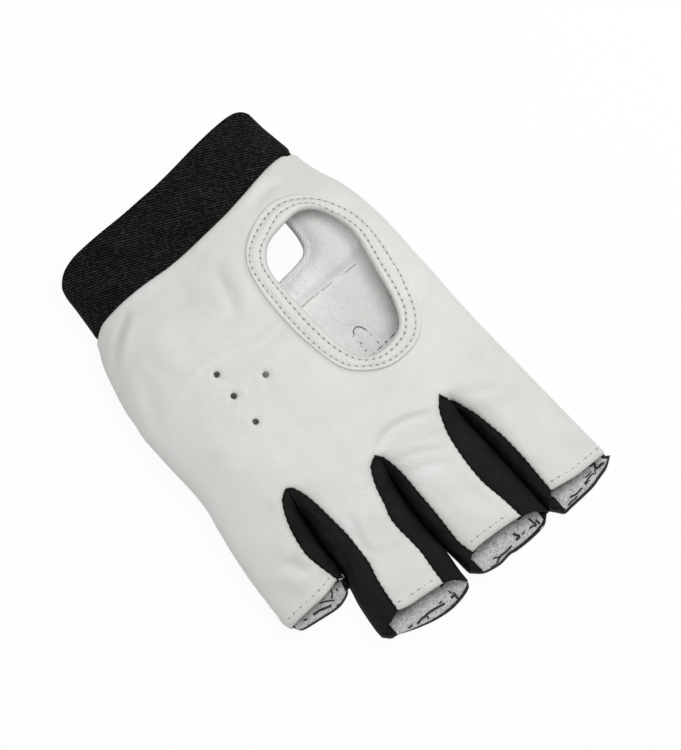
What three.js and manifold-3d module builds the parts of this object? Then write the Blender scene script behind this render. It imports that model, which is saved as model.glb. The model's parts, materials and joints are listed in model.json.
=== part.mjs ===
// A left-hand, half-finger field hockey glove, lying on its padded back with the palm up.
//
// The palm and the finger fronts are white leather, with an oval thumb hole that has a sewn
// leather facing, and four punched vents. Black stretch fourchettes fill the slots between the
// fingers. The back is a black shell over a foam pad and a white lining, and it is open in a
// window above the wrist. A woven elastic cuff is sewn in under the leather's lower edge.
//
// Every wall is a layer between two depths of one lofted tube: the hand is one tube and each
// finger is another. Outlines seen from above then trim the layers into the sewn pieces.
//
// Units are millimetres. +X runs towards the little finger, +Y towards the fingertips and +Z
// out of the palm. The origin is under the middle of the glove, on the face that it lies on.

import * as THREE from 'three';
import { mergeVertices } from 'three/addons/utils/BufferGeometryUtils.js';
import Module from 'manifold-3d';

const wasm = await Module();
wasm.setup();

// Overall sizes of the glove
const handWidth = 90; // the bare hand across the palm that the glove is cut for
const palmLength = 97; // from the cuff seam to the roots of the finger slots
const palmHeight = 26; // from the floor to the highest part of the palm
const fingerBaseHeight = 22; // top of a finger where it leaves the palm
const fingerTipHeight = 16.5; // top of a finger at its open mouth
const backSink = 2.5; // how far the round section is pressed flat where it lies

// Lengths of the finger fronts, from the flex line to the hem, and how much longer the back is
const indexLength = 50.5;
const middleLength = 44.5;
const ringLength = 44.5;
const littleLength = 33.5;
const indexLip = 3.5;
const middleLip = 6.5;
const ringLip = 6.5;
const littleLip = 3;

// Thickness of each material
const leatherThickness = 1;
const facingThickness = 0.9;
const stretchThickness = 0.7;
const shellThickness = 1;
const foamThickness = 4;
const liningThickness = 0.8;
const elasticThickness = 1.3;
const bindingThickness = 0.8;

// Clearances
const sewnGap = 0.3; // between two pieces that are sewn together
const fingerClearance = 0.8; // between two neighbouring fingers
const overrun = 30; // how far a cutting shape passes what it cuts

// Seams, cuff, openings and vents
const sideSeamHeight = 5; // leather above it, black back shell below it
const liningTurnUp = 3.2; // how far the lining climbs the side walls
const cuffDepth = 23; // elastic that shows below the leather
const cuffOverlap = 2.2; // elastic sewn in under the leather
const cuffCornerRadius = 5;
const thumbHoleLength = 56.7;
const thumbHoleWidth = 32.6;
const facingWidth = 6.6;
const ventDiameter = 2.3;
const windowWidth = 57.4;
const windowCornerRadius = 3.6;
const slotWidth = 16.2; // widest part of the slot between the index and middle fingers
const slotLength = 49.8; // from that slot's root to the hem

// Angles of the lines between the fingers, from the hand's long axis, in degrees
const fingerLineAngles = [0, 2.1, 7.5, 9.8, 6.9];
const hemSlantAngles = [-6, -3.5, -5, 6];

// The hand's own tube, from past the cuff's edge to past the knuckles. Each row holds the place
// along the palm, the left edge, the right edge, the top's height, and the power that squares
// the section. Places along are shares of palmLength, edges of handWidth, tops of palmHeight.
const handStationShares = [
  [-0.27, -0.617, 0.4, 0.79, 2.3],
  [-0.157, -0.621, 0.408, 0.8, 2.3],
  [-0.065, -0.624, 0.424, 0.815, 2.3],
  [0, -0.624, 0.438, 0.84, 2.35],
  [0.074, -0.63, 0.476, 0.885, 2.4],
  [0.167, -0.652, 0.513, 0.935, 2.5],
  [0.259, -0.674, 0.543, 0.965, 2.6],
  [0.352, -0.685, 0.563, 0.985, 2.7],
  [0.491, -0.684, 0.573, 1, 2.8],
  [0.63, -0.675, 0.58, 1, 2.9],
  [0.769, -0.665, 0.608, 0.98, 3.1],
  [0.907, -0.66, 0.643, 0.945, 3.4],
  [1.046, -0.658, 0.668, 0.905, 3.8],
  [1.13, -0.657, 0.678, 0.885, 4],
];

// The lines between the fingers cross this share of the palm's length at these shares of the
// hand's breadth, from the index finger's outer edge to the little finger's.
const fingerLineAlongShare = 1.046;
const fingerLineShares = [-0.658, -0.356, -0.002, 0.362, 0.665];
// Where each finger's flex line crosses its middle, as shares of palmLength
const flexLineShares = [1.042, 1.042, 1.018, 0.883];
const fingerPowers = { base: 4.2, middle: 3.4, tip: 2.8 };
const fingerMiddleShare = 0.45;

// Thumb hole: its middle as shares of palmLength and handWidth, and its outline from the top
// round the outer side, as shares of half its width and half its length
const thumbHoleCentreShares = { across: -0.391, along: 0.455 };
const thumbHoleOutlineShares = [
  [0.08, 1],
  [-0.24, 0.96],
  [-0.48, 0.79],
  [-0.65, 0.53],
  [-0.79, 0.28],
  [-0.93, -0.1],
  [-1, -0.4],
  [-0.95, -0.62],
  [-0.74, -0.82],
  [-0.4, -0.98],
  [0.1, -0.99],
  [0.5, -0.9],
  [0.83, -0.67],
  [0.96, -0.3],
  [1, 0.2],
  [0.97, 0.55],
  [0.82, 0.84],
  [0.45, 0.98],
];
const thumbHoleSteps = 36;

// Vents: shares of handWidth across and of palmLength along
const ventShares = [
  [0.213, 0.602],
  [0.06, 0.509],
  [0.203, 0.481],
  [0.191, 0.384],
];

// Slots between the fingers. Each has its root as shares of handWidth and palmLength, its
// angle in degrees, and rows of place along, left edge and right edge: shares of slotLength and
// of half of slotWidth, measured from the slot's own middle line.
const slotShapes = [
  {
    rootShares: [-0.357, 0.997],
    angle: 2.4,
    rowShares: [
      [0, 0, 0],
      [0.03, -0.16, 0.16],
      [0.1, -0.33, 0.4],
      [0.19, -0.52, 0.72],
      [0.28, -0.66, 0.88],
      [0.46, -0.82, 1.06],
      [0.64, -0.87, 1.12],
      [0.82, -0.86, 0.98],
      [1, -0.79, 0.89],
      [1.6, -0.79, 0.89],
    ],
  },
  {
    rootShares: [-0.02, 0.989],
    angle: 8,
    rowShares: [
      [0, -0.06, 0.06],
      [0.02, -0.2, 0.25],
      [0.06, -0.27, 0.5],
      [0.13, -0.34, 0.62],
      [0.22, -0.5, 0.8],
      [0.4, -0.64, 1.04],
      [0.6, -0.64, 0.94],
      [0.75, -0.66, 0.92],
      [0.9, -0.76, 0.94],
      [1, -0.84, 0.96],
      [1.6, -0.84, 0.96],
    ],
  },
  {
    rootShares: [0.316, 0.846],
    angle: 4.7,
    rowShares: [
      [0, 0, 0],
      [0.04, -0.28, 0.4],
      [0.12, -0.42, 0.68],
      [0.25, -0.6, 0.95],
      [0.4, -0.68, 1.1],
      [0.57, -0.78, 0.95],
      [0.7, -0.8, 0.71],
      [0.72, -0.79, 1.9],
      [0.88, -0.55, 2.2],
      [1, -0.45, 2.2],
      [1.13, -0.33, 2.2],
      [1.7, 0.1, 2.2],
    ],
  },
];

// Wrist window in the back: its middle across the hand and its upper edge along the palm
const windowShares = { across: -0.096, along: 0.308 };
// Cross seam of the lining, and the wrist end of the foam and lining, along the palm
const liningSeamShare = 0.435;
const paddingEndShare = 0.034;

// Facets round the tubes
const handFacets = 40;
const fingerFacets = 24;
const cornerSteps = 5;
const ventFacets = 10;

// Depths of the layers under the outer surface
const innerDepth = leatherThickness + sewnGap;
const foamDepth = shellThickness + sewnGap;
const foamTop = foamDepth + foamThickness;
const liningFloor = foamTop + sewnGap;
const liningTop = liningFloor + liningThickness;
const liningEdge = liningTop + liningTurnUp;

// Materials
const finishes = {
  leather: { color: 0xe3e3df, roughness: 0.62, metalness: 0 },
  stretch: { color: 0x171717, roughness: 0.85, metalness: 0 },
  shell: { color: 0x1b1b1c, roughness: 0.8, metalness: 0 },
  foam: { color: 0xc9c7bd, roughness: 0.95, metalness: 0 },
  lining: { color: 0xd9d9d6, roughness: 0.95, metalness: 0 },
  elastic: { color: 0x1e1b1c, roughness: 0.7, metalness: 0 },
  binding: { color: 0xd2d2cf, roughness: 0.9, metalness: 0 },
};

const glove = new THREE.Group();

// Solids and meshes

function toSolid(geometry) {
  const bare = geometry.clone();
  bare.deleteAttribute('normal');
  bare.deleteAttribute('uv');
  const merged = mergeVertices(bare);
  const vertProperties = new Float32Array(merged.attributes.position.array);
  const triVerts = new Uint32Array(merged.index.array);
  return new wasm.Manifold(new wasm.Mesh({ numProp: 3, vertProperties, triVerts }));
}

function toGeometry(solid) {
  const mesh = solid.getMesh();
  const geometry = new THREE.BufferGeometry();
  geometry.setAttribute('position', new THREE.BufferAttribute(mesh.vertProperties, mesh.numProp));
  geometry.setIndex(new THREE.BufferAttribute(mesh.triVerts, 1));
  return geometry;
}

function addPiece(name, solid, finish) {
  const material = new THREE.MeshStandardMaterial(finish);
  const mesh = new THREE.Mesh(toGeometry(solid), material);
  mesh.name = name;
  glove.add(mesh);
}

// Lofts a closed body through rings with the same number of points. The rings follow each other
// along +Y, and each runs from +X towards +Z.
function loft(rings) {
  const positions = [];
  const indices = [];
  const count = rings[0].length;
  for (const ring of rings) {
    for (const point of ring) {
      positions.push(point.x, point.y, point.z);
    }
  }
  for (let step = 0; step < rings.length - 1; step += 1) {
    for (let i = 0; i < count; i += 1) {
      const a = step * count + i;
      const b = step * count + ((i + 1) % count);
      indices.push(a, a + count, b);
      indices.push(b, a + count, b + count);
    }
  }
  const lastRing = (rings.length - 1) * count;
  for (let i = 1; i < count - 1; i += 1) {
    indices.push(0, i, i + 1);
    indices.push(lastRing, lastRing + i + 1, lastRing + i);
  }
  const geometry = new THREE.BufferGeometry();
  geometry.setAttribute('position', new THREE.Float32BufferAttribute(positions, 3));
  geometry.setIndex(indices);
  return geometry;
}

function signedPower(value, power) {
  return Math.sign(value) * Math.abs(value) ** power;
}

// One ring of a tube: a squared ellipse, drawn in by depth and pressed flat at floor
function sectionRing(section, depth, floor, facets) {
  const halfWidth = (section.right - section.left) / 2 - depth;
  const halfHeight = (section.top + backSink) / 2 - depth;
  const middleX = (section.right + section.left) / 2;
  const middleZ = (section.top - backSink) / 2;
  const ring = [];
  for (let i = 0; i < facets; i += 1) {
    const turn = (2 * Math.PI * (i + 0.5)) / facets;
    const x = middleX + halfWidth * signedPower(Math.cos(turn), 2 / section.power);
    const z = middleZ + halfHeight * signedPower(Math.sin(turn), 2 / section.power);
    ring.push(new THREE.Vector3(x, section.along, Math.max(z, floor)));
  }
  return ring;
}

// A tube drawn in by depth, whose underside is flat at the height floor
function tube(sections, depth, floor, facets) {
  return toSolid(loft(sections.map((section) => sectionRing(section, depth, floor, facets))));
}

// A wall that follows a tube all round, between two depths
function wall(sections, outerDepth, innerSideDepth, facets) {
  const outer = tube(sections, outerDepth, outerDepth, facets);
  return outer.subtract(tube(sections, innerSideDepth, innerSideDepth, facets));
}

// A body made by pulling an outline, seen from above, from one height to another
function prism(outline, low, high) {
  const shape = new THREE.Shape(outline.map(([x, y]) => new THREE.Vector2(x, y)));
  const geometry = new THREE.ExtrudeGeometry(shape, { depth: high - low, bevelEnabled: false });
  geometry.translate(0, 0, low);
  return toSolid(geometry);
}

// Moves an anticlockwise outline outwards by a distance, or inwards by a negative one
function grown(outline, distance) {
  const count = outline.length;
  return outline.map(([x, y], i) => {
    const [beforeX, beforeY] = outline[(i + count - 1) % count];
    const [afterX, afterY] = outline[(i + 1) % count];
    const before = new THREE.Vector2(y - beforeY, beforeX - x).normalize();
    const after = new THREE.Vector2(afterY - y, x - afterX).normalize();
    const normal = before.add(after).normalize();
    return [x + normal.x * distance, y + normal.y * distance];
  });
}

// Everything above or below one height
function slab(low, high) {
  const reach = 2 * (palmLength + handWidth + indexLength + overrun);
  const box = new THREE.BoxGeometry(reach, reach, high - low);
  box.translate(0, 0, (low + high) / 2);
  return toSolid(box);
}

const above = slab(sideSeamHeight + sewnGap / 2, palmHeight + overrun);
const below = slab(-overrun, sideSeamHeight - sewnGap / 2);
const underLiningEdge = slab(-overrun, liningEdge);

// Lines between the fingers and the flex lines

function degrees(angle) {
  return THREE.MathUtils.degToRad(angle);
}

const fingerLines = fingerLineShares.map((share, i) => ({
  point: new THREE.Vector2(share * handWidth, fingerLineAlongShare * palmLength),
  direction: new THREE.Vector2(Math.sin(degrees(fingerLineAngles[i])), Math.cos(degrees(fingerLineAngles[i]))),
}));

function crossAt(line, along) {
  return line.point.x + ((along - line.point.y) * line.direction.x) / line.direction.y;
}

// A finger lies between two lines. It points along their mean direction and is as wide as
// the narrower end allows, with half of the clearance kept on each side.
function fingerFrame(index, length, lip) {
  const [left, right] = [fingerLines[index], fingerLines[index + 1]];
  const lean = degrees((fingerLineAngles[index] + fingerLineAngles[index + 1]) / 2);
  const along = flexLineShares[index] * palmLength;
  const base = new THREE.Vector2((crossAt(left, along) + crossAt(right, along)) / 2, along);
  const direction = new THREE.Vector2(Math.sin(lean), Math.cos(lean));
  const across = new THREE.Vector2(Math.cos(lean), -Math.sin(lean));
  const tip = base.clone().addScaledVector(direction, length + lip);
  const reaches = [base, tip].flatMap((end) => [
    end.clone().sub(left.point).cross(left.direction),
    -end.clone().sub(right.point).cross(right.direction),
  ]);
  const halfWidth = Math.min(...reaches.map(Math.abs)) - fingerClearance / 2;
  return { index, length, lip, lean, base, direction, across, halfWidth };
}

const fingers = [
  fingerFrame(0, indexLength, indexLip),
  fingerFrame(1, middleLength, middleLip),
  fingerFrame(2, ringLength, ringLip),
  fingerFrame(3, littleLength, littleLip),
];

// Where a finger's flex line, moved along the finger by a distance, meets a line between fingers
function flexPoint(finger, line, moved) {
  const start = finger.base.clone().addScaledVector(finger.direction, moved);
  const offset = line.point.clone().sub(start);
  const travel = offset.cross(line.direction) / finger.across.cross(line.direction);
  return start.addScaledVector(finger.across, travel);
}

// The hand ends at the four flex lines, with a step along each line between two fingers
function handOutline() {
  const wide = handWidth + overrun;
  const points = [
    [-wide, -cuffDepth - overrun],
    [wide, -cuffDepth - overrun],
  ];
  for (const finger of [...fingers].reverse()) {
    const leftLine = fingerLines[finger.index];
    const rightLine = fingerLines[finger.index + 1];
    const right = flexPoint(finger, rightLine, -sewnGap);
    const left = flexPoint(finger, leftLine, -sewnGap);
    const rightMove = finger.index === fingers.length - 1 ? overrun : -fingerClearance / 2;
    const leftMove = finger.index === 0 ? -overrun : -fingerClearance / 2;
    points.push(right.addScaledVector(finger.across, rightMove).toArray());
    points.push(left.addScaledVector(finger.across, leftMove).toArray());
  }
  return points;
}

const handRegion = prism(handOutline(), -overrun, palmHeight + overrun);

// The slots

function slotOutline(slot, shrink) {
  const [rootAcross, rootAlong] = slot.rootShares;
  const lean = degrees(slot.angle);
  const place = (along, across) => [
    rootAcross * handWidth + along * Math.sin(lean) + across * Math.cos(lean),
    rootAlong * palmLength + along * Math.cos(lean) - across * Math.sin(lean),
  ];
  const half = slotWidth / 2;
  const rightSide = slot.rowShares.map(([along, , right]) => place(along * slotLength, right * half));
  const leftSide = slot.rowShares.map(([along, left]) => place(along * slotLength, left * half));
  const [, firstLeft, firstRight] = slot.rowShares[0];
  const closed = firstLeft === firstRight ? leftSide.slice(1) : leftSide;
  return grown([...rightSide, ...closed.reverse()], -shrink);
}

const slotCuts = slotShapes.map((slot) => prism(slotOutline(slot, 0), 0, palmHeight + overrun));
const slotFills = slotShapes.map((slot) => prism(slotOutline(slot, sewnGap), 0, palmHeight + overrun));

// The hand

const handSections = handStationShares.map(([along, left, right, top, power]) => ({
  along: along * palmLength,
  left: left * handWidth,
  right: right * handWidth,
  top: top * palmHeight,
  power,
}));

// The part of the hand between the height floor and the height ceiling over the face it lies on
function handLayer(depth, floor, ceiling) {
  const lower = tube(handSections, depth, floor, handFacets);
  return lower.intersect(slab(-overrun, ceiling)).intersect(handRegion);
}

function alongRegion(low, high) {
  const wide = handWidth + overrun;
  return prism([[-wide, low], [wide, low], [wide, high], [-wide, high]], -overrun, palmHeight + overrun);
}

const farAlong = palmLength + indexLength + overrun;
const leatherEnd = alongRegion(0, farAlong);
const paddedPart = alongRegion(paddingEndShare * palmLength, farAlong);

const thumbHoleOutline = new THREE.CatmullRomCurve3(
  [...thumbHoleOutlineShares].map(
    ([across, along]) =>
      new THREE.Vector3(
        thumbHoleCentreShares.across * handWidth + (across * thumbHoleWidth) / 2,
        thumbHoleCentreShares.along * palmLength + (along * thumbHoleLength) / 2,
        0,
      ),
  ),
  true,
)
  .getPoints(thumbHoleSteps)
  .slice(1)
  .map((point) => [point.x, point.y]);

function palmLeather() {
  let leather = wall(handSections, 0, leatherThickness, handFacets);
  leather = leather.intersect(above).intersect(handRegion).intersect(leatherEnd);
  leather = leather.subtract(prism(thumbHoleOutline, 0, palmHeight + overrun));
  for (const slot of slotCuts) {
    leather = leather.subtract(slot);
  }
  for (const [across, along] of ventShares) {
    const punch = new THREE.CylinderGeometry(ventDiameter / 2, ventDiameter / 2, palmHeight, ventFacets);
    punch.rotateX(Math.PI / 2);
    punch.translate(across * handWidth, along * palmLength, palmHeight);
    leather = leather.subtract(toSolid(punch));
  }
  return leather;
}

// The facing lies on the leather round the thumb hole and is as wide all round
function thumbHoleFacing() {
  const outer = prism(grown(thumbHoleOutline, facingWidth), sideSeamHeight, palmHeight + overrun);
  const ring = outer.subtract(prism(thumbHoleOutline, 0, palmHeight + overrun));
  const lift = -sewnGap - facingThickness;
  return wall(handSections, lift, -sewnGap, handFacets).intersect(above).intersect(ring);
}

function cuffOutline() {
  const low = -cuffDepth;
  const high = cuffOverlap;
  const section = handSections[0];
  const left = section.left + innerDepth - sewnGap;
  const right = section.right - innerDepth + sewnGap;
  const far = handWidth;
  const points = [];
  for (let i = 0; i <= cornerSteps; i += 1) {
    const turn = (Math.PI / 2) * (i / cornerSteps);
    const x = left + cuffCornerRadius * (1 - Math.cos(turn));
    points.push([x, low + cuffCornerRadius * (1 - Math.sin(turn))]);
  }
  for (let i = 0; i <= cornerSteps; i += 1) {
    const turn = (Math.PI / 2) * (i / cornerSteps);
    const x = right - cuffCornerRadius * (1 - Math.sin(turn));
    points.push([x, low + cuffCornerRadius * (1 - Math.cos(turn))]);
  }
  points.push([far, low + cuffCornerRadius]);
  points.push([far, high]);
  points.push([-far, high]);
  points.push([-far, low + cuffCornerRadius]);
  return points;
}

function cuffElastic() {
  const loop = wall(handSections, innerDepth, innerDepth + elasticThickness, handFacets);
  return loop.intersect(prism(cuffOutline(), -overrun, palmHeight + overrun));
}

// The upper end of a slot that lies on the hand. Between the ring and little fingers the hand
// steps back, and the fourchette turns down there as the ring finger's side wall.
function crotchFourchette(index) {
  const skin = wall(handSections, 0, stretchThickness, handFacets);
  let piece = skin.intersect(above).intersect(handRegion).intersect(slotFills[index]);
  if (index === fingers.length - 2) {
    piece = piece.add(stepWall());
  }
  return piece;
}

function stepOutline() {
  const line = fingerLines[fingers.length - 1];
  const ring = fingers[fingers.length - 2];
  const little = fingers[fingers.length - 1];
  const high = flexPoint(ring, line, -sewnGap);
  const low = flexPoint(little, line, -sewnGap);
  const outer = -fingerClearance / 2;
  const inner = outer - stretchThickness;
  return [
    [low.x + outer, low.y],
    [high.x + outer, high.y],
    [high.x + inner, high.y],
    [low.x + inner, low.y],
  ];
}

function stepWall() {
  const tall = prism(stepOutline(), sideSeamHeight + sewnGap / 2, palmHeight);
  return tall.intersect(tube(handSections, stretchThickness / 2, 0, handFacets));
}

const stepClearance = prism(grown(stepOutline(), sewnGap), sideSeamHeight, palmHeight);

function windowOutline(shrink) {
  const middle = windowShares.across * handWidth;
  const half = windowWidth / 2 - shrink;
  const high = windowShares.along * palmLength - shrink;
  const low = -cuffDepth;
  const radius = windowCornerRadius;
  const points = [
    [middle - half, low],
    [middle + half, low],
  ];
  for (let i = 0; i <= cornerSteps; i += 1) {
    const turn = (Math.PI / 2) * (i / cornerSteps);
    points.push([middle + half - radius * (1 - Math.cos(turn)), high - radius * (1 - Math.sin(turn))]);
  }
  for (let i = 0; i <= cornerSteps; i += 1) {
    const turn = (Math.PI / 2) * (i / cornerSteps);
    points.push([middle - half + radius * (1 - Math.sin(turn)), high - radius * (1 - Math.cos(turn))]);
  }
  return points;
}

const windowCut = prism(windowOutline(0), -overrun, palmHeight);

function backShell() {
  const skin = wall(handSections, 0, shellThickness, handFacets);
  return skin.intersect(below).intersect(handRegion).intersect(leatherEnd).subtract(windowCut);
}

function backFoam() {
  const pad = handLayer(foamDepth, foamDepth, foamTop).intersect(paddedPart);
  return pad.subtract(windowCut).subtract(stepClearance);
}

function liningSkin(sections, facets) {
  const outer = tube(sections, innerDepth, liningFloor, facets);
  const inner = tube(sections, innerDepth + liningThickness, liningTop, facets);
  return outer.subtract(inner).intersect(underLiningEdge);
}

function backLining(low, high) {
  const skin = liningSkin(handSections, handFacets).intersect(handRegion).subtract(windowCut);
  return skin.intersect(alongRegion(low, high)).subtract(stepClearance);
}

// A tape covers the cut edges of shell, foam and lining round the window
function windowBinding() {
  const outer = prism(windowOutline(sewnGap), sewnGap, liningTop);
  const band = outer.subtract(prism(windowOutline(sewnGap + bindingThickness), 0, palmHeight));
  return band.intersect(paddedPart);
}

const liningSeam = liningSeamShare * palmLength;

addPiece('palm_leather', palmLeather(), finishes.leather);
addPiece('thumb_hole_facing', thumbHoleFacing(), finishes.leather);
addPiece('cuff_elastic', cuffElastic(), finishes.elastic);
addPiece('index_middle_crotch', crotchFourchette(0), finishes.stretch);
addPiece('middle_ring_crotch', crotchFourchette(1), finishes.stretch);
addPiece('ring_little_crotch', crotchFourchette(2), finishes.stretch);
addPiece('back_shell', backShell(), finishes.shell);
addPiece('back_foam', backFoam(), finishes.foam);
addPiece('back_lining', backLining(liningSeam + sewnGap / 2, farAlong), finishes.lining);
addPiece('wrist_lining', backLining(paddingEndShare * palmLength, liningSeam - sewnGap / 2), finishes.lining);
addPiece('window_binding', windowBinding(), finishes.binding);

// The fingers

function fingerSections(finger) {
  const section = (along, top, power) => ({
    along,
    left: -finger.halfWidth,
    right: finger.halfWidth,
    top,
    power,
  });
  const end = finger.length + finger.lip + overrun;
  const middle = finger.length * fingerMiddleShare;
  const middleTop = THREE.MathUtils.lerp(fingerBaseHeight, fingerTipHeight, fingerMiddleShare);
  return [
    section(0, fingerBaseHeight, fingerPowers.base),
    section(middle, middleTop, fingerPowers.middle),
    section(finger.length, fingerTipHeight, fingerPowers.tip),
    section(end, fingerTipHeight, fingerPowers.tip),
  ];
}

// The mouth is cut by a sloping plane, so that the back runs on past the hem
function mouthRegion(finger) {
  const wide = finger.halfWidth + overrun;
  const slant = Math.tan(degrees(hemSlantAngles[finger.index]));
  const slope = finger.lip / fingerTipHeight;
  const ring = (along, atHeight) =>
    [
      [wide, -overrun],
      [wide, palmHeight + overrun],
      [-wide, palmHeight + overrun],
      [-wide, -overrun],
    ].map(([x, z]) => {
      const y = atHeight ? along + finger.lip - z * slope + x * slant : along;
      return new THREE.Vector3(x, y, z);
    });
  return toSolid(loft([ring(0, false), ring(finger.length, true)]));
}

function placed(finger, solid) {
  const geometry = toGeometry(solid);
  geometry.rotateZ(-finger.lean);
  geometry.translate(finger.base.x, finger.base.y, 0);
  return toSolid(geometry);
}

function addFinger(finger, name, gussets) {
  const sections = fingerSections(finger);
  const mouth = mouthRegion(finger);
  const make = (solid) => placed(finger, solid.intersect(mouth));
  let front = make(wall(sections, 0, leatherThickness, fingerFacets)).intersect(above);
  for (const slot of slotCuts) {
    front = front.subtract(slot);
  }
  addPiece(`${name}_front`, front, finishes.leather);
  const stretch = make(wall(sections, 0, stretchThickness, fingerFacets)).intersect(above);
  for (const [side, slot] of gussets) {
    addPiece(`${name}_${side}_fourchette`, stretch.intersect(slotFills[slot]), finishes.stretch);
  }
  const shell = make(wall(sections, 0, shellThickness, fingerFacets)).intersect(below);
  addPiece(`${name}_back_shell`, shell, finishes.shell);
  const pad = make(tube(sections, foamDepth, foamDepth, fingerFacets)).intersect(slab(-overrun, foamTop));
  addPiece(`${name}_foam`, pad, finishes.foam);
  addPiece(`${name}_lining`, make(liningSkin(sections, fingerFacets)), finishes.lining);
}

addFinger(fingers[0], 'index', [['right', 0]]);
addFinger(fingers[1], 'middle', [['left', 0], ['right', 1]]);
addFinger(fingers[2], 'ring', [['left', 1], ['right', 2]]);
addFinger(fingers[3], 'little', [['left', 2]]);

// The origin goes under the middle of the glove
const extent = new THREE.Box3().setFromObject(glove);
const middle = extent.getCenter(new THREE.Vector3());
glove.position.set(-middle.x, -middle.y, -extent.min.z);

export default glove;
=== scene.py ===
# %% [markdown]
# # A field hockey glove
# This lesson dresses the plain solids of a half-finger glove with leather, stretch fabric,
# terry lining, padding and thread. The glove lies on its back with the palm up. The solids
# stay as a hidden frame: they give every place and size, and the cloth is laid over them.

# %% Bring in the fixed frame
import json
import math

import bpy
import numpy as np
from mathutils import Matrix, Vector, geometry
from mathutils.bvhtree import BVHTree

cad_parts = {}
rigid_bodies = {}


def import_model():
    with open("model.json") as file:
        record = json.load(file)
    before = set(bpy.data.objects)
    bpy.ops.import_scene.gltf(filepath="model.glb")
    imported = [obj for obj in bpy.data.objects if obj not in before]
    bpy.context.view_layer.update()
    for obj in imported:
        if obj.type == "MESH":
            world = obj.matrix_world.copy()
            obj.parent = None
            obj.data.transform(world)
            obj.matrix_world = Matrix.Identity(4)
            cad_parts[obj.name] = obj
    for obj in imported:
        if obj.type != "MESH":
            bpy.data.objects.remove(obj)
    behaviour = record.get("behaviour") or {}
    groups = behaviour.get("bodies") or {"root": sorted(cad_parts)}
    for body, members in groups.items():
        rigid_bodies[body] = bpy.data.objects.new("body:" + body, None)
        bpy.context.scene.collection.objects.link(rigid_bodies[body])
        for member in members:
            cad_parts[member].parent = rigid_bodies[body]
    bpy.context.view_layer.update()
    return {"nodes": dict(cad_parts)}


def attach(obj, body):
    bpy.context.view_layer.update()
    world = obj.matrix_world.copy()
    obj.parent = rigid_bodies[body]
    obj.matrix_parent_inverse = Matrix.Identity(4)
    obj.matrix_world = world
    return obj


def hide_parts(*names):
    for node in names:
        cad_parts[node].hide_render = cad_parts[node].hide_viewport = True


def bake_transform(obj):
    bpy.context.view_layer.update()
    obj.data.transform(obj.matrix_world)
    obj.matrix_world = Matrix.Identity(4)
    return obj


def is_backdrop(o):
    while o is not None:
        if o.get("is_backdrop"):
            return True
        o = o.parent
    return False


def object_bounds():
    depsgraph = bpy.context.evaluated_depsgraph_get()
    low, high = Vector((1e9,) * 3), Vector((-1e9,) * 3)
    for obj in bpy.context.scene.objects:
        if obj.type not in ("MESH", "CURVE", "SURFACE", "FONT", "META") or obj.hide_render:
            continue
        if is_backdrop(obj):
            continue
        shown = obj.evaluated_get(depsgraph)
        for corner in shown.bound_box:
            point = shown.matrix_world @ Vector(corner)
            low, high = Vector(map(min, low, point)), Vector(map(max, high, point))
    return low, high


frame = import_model()
bpy.ops.object.select_all(action="DESELECT")

# %% [markdown]
# ## The camera
# The photograph looks almost straight down on the table, leaning a little towards the lower
# edge of the picture, and the hand's long axis runs across the picture at 45 degrees. The
# camera comes first, because many shapes below were read from the photograph on a grid that
# follows the hand, 0.9 mm to a unit. One function turns such a place into a place on the
# table, once the height of the thing is known, so that it lands where the photograph shows it.

# %% Set up the camera
MM = 0.001
VIEW_TILT = math.radians(10)
VIEW_DISTANCE = 0.8
PIXELS_A_METRE = 2891
SIGHT = Vector((-0.0130, 0.0010, 0.0130))
PICTURE = (681, 750)
GRID_ORIGIN = (322, 385)
GRID_PIXELS = 1.8384

level_down = Vector((1, 1, 0)).normalized()
level_right = Vector((-1, 1, 0)).normalized()
upright = Vector((0, 0, 1))
look = -(level_down * math.sin(VIEW_TILT) + upright * math.cos(VIEW_TILT))
picture_down = level_down * math.cos(VIEW_TILT) - upright * math.sin(VIEW_TILT)
eye = SIGHT - look * VIEW_DISTANCE
focal = PIXELS_A_METRE * VIEW_DISTANCE

camera_data = bpy.data.cameras.new("photo_camera")
camera_data.lens = camera_data.sensor_width * focal / max(PICTURE)
camera = bpy.data.objects.new("photo_camera", camera_data)
bpy.context.scene.collection.objects.link(camera)
camera.matrix_world = Matrix.Translation(eye) @ Matrix(
    [[level_right[i], -picture_down[i], -look[i]] for i in range(3)]
).to_4x4()
bpy.context.scene.camera = camera


def seen(across, along, height):
    """The places, in metres, of things at these heights that the grid shows."""
    across, along, height = (np.asarray(v, float) for v in (across, along, height))
    right = (GRID_ORIGIN[0] - PICTURE[0] / 2 + GRID_PIXELS * (along - across)) / focal
    down = (GRID_ORIGIN[1] - PICTURE[1] / 2 + GRID_PIXELS * (along + across)) / focal
    rays = [look[i] + right * level_right[i] + down * picture_down[i] for i in range(3)]
    steps = (height - eye.z) / rays[2]
    return eye.x + rays[0] * steps, eye.y + rays[1] * steps


print("camera: lens %.0f mm, %.2f m from the glove" % (camera_data.lens, VIEW_DISTANCE))

# %% [markdown]
# ## Lines and soft waves
# Pattern pieces are cut along smooth lines, so a few points are enough to describe each one.
# `smooth_line` runs a curve through them and spaces its points evenly. Leather and fabric are
# never quite flat, and `soft_waves` gives them calm, repeatable waves.

# %% Helpers for lines
def closed_up(points):
    """A closed line with its first point again at its end."""
    return np.vstack([points, points[:1]])


def travelled(points):
    """How far along a line each of its points is."""
    return np.concatenate([[0], np.cumsum(np.linalg.norm(np.diff(points, axis=0), axis=1))])


def at_travel(places, travel, points):
    """The places on a line at some distances along it."""
    return np.column_stack([np.interp(places, travel, column) for column in points.T])


def unit(rows):
    """Directions with a length of one."""
    return rows / np.maximum(np.linalg.norm(rows, axis=1), 1e-12)[:, None]


def left_of(line):
    """The direction to the left of a line, at each of its points."""
    way = unit(np.gradient(line, axis=0))
    return np.column_stack([-way[:, 1], way[:, 0]])


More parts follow.
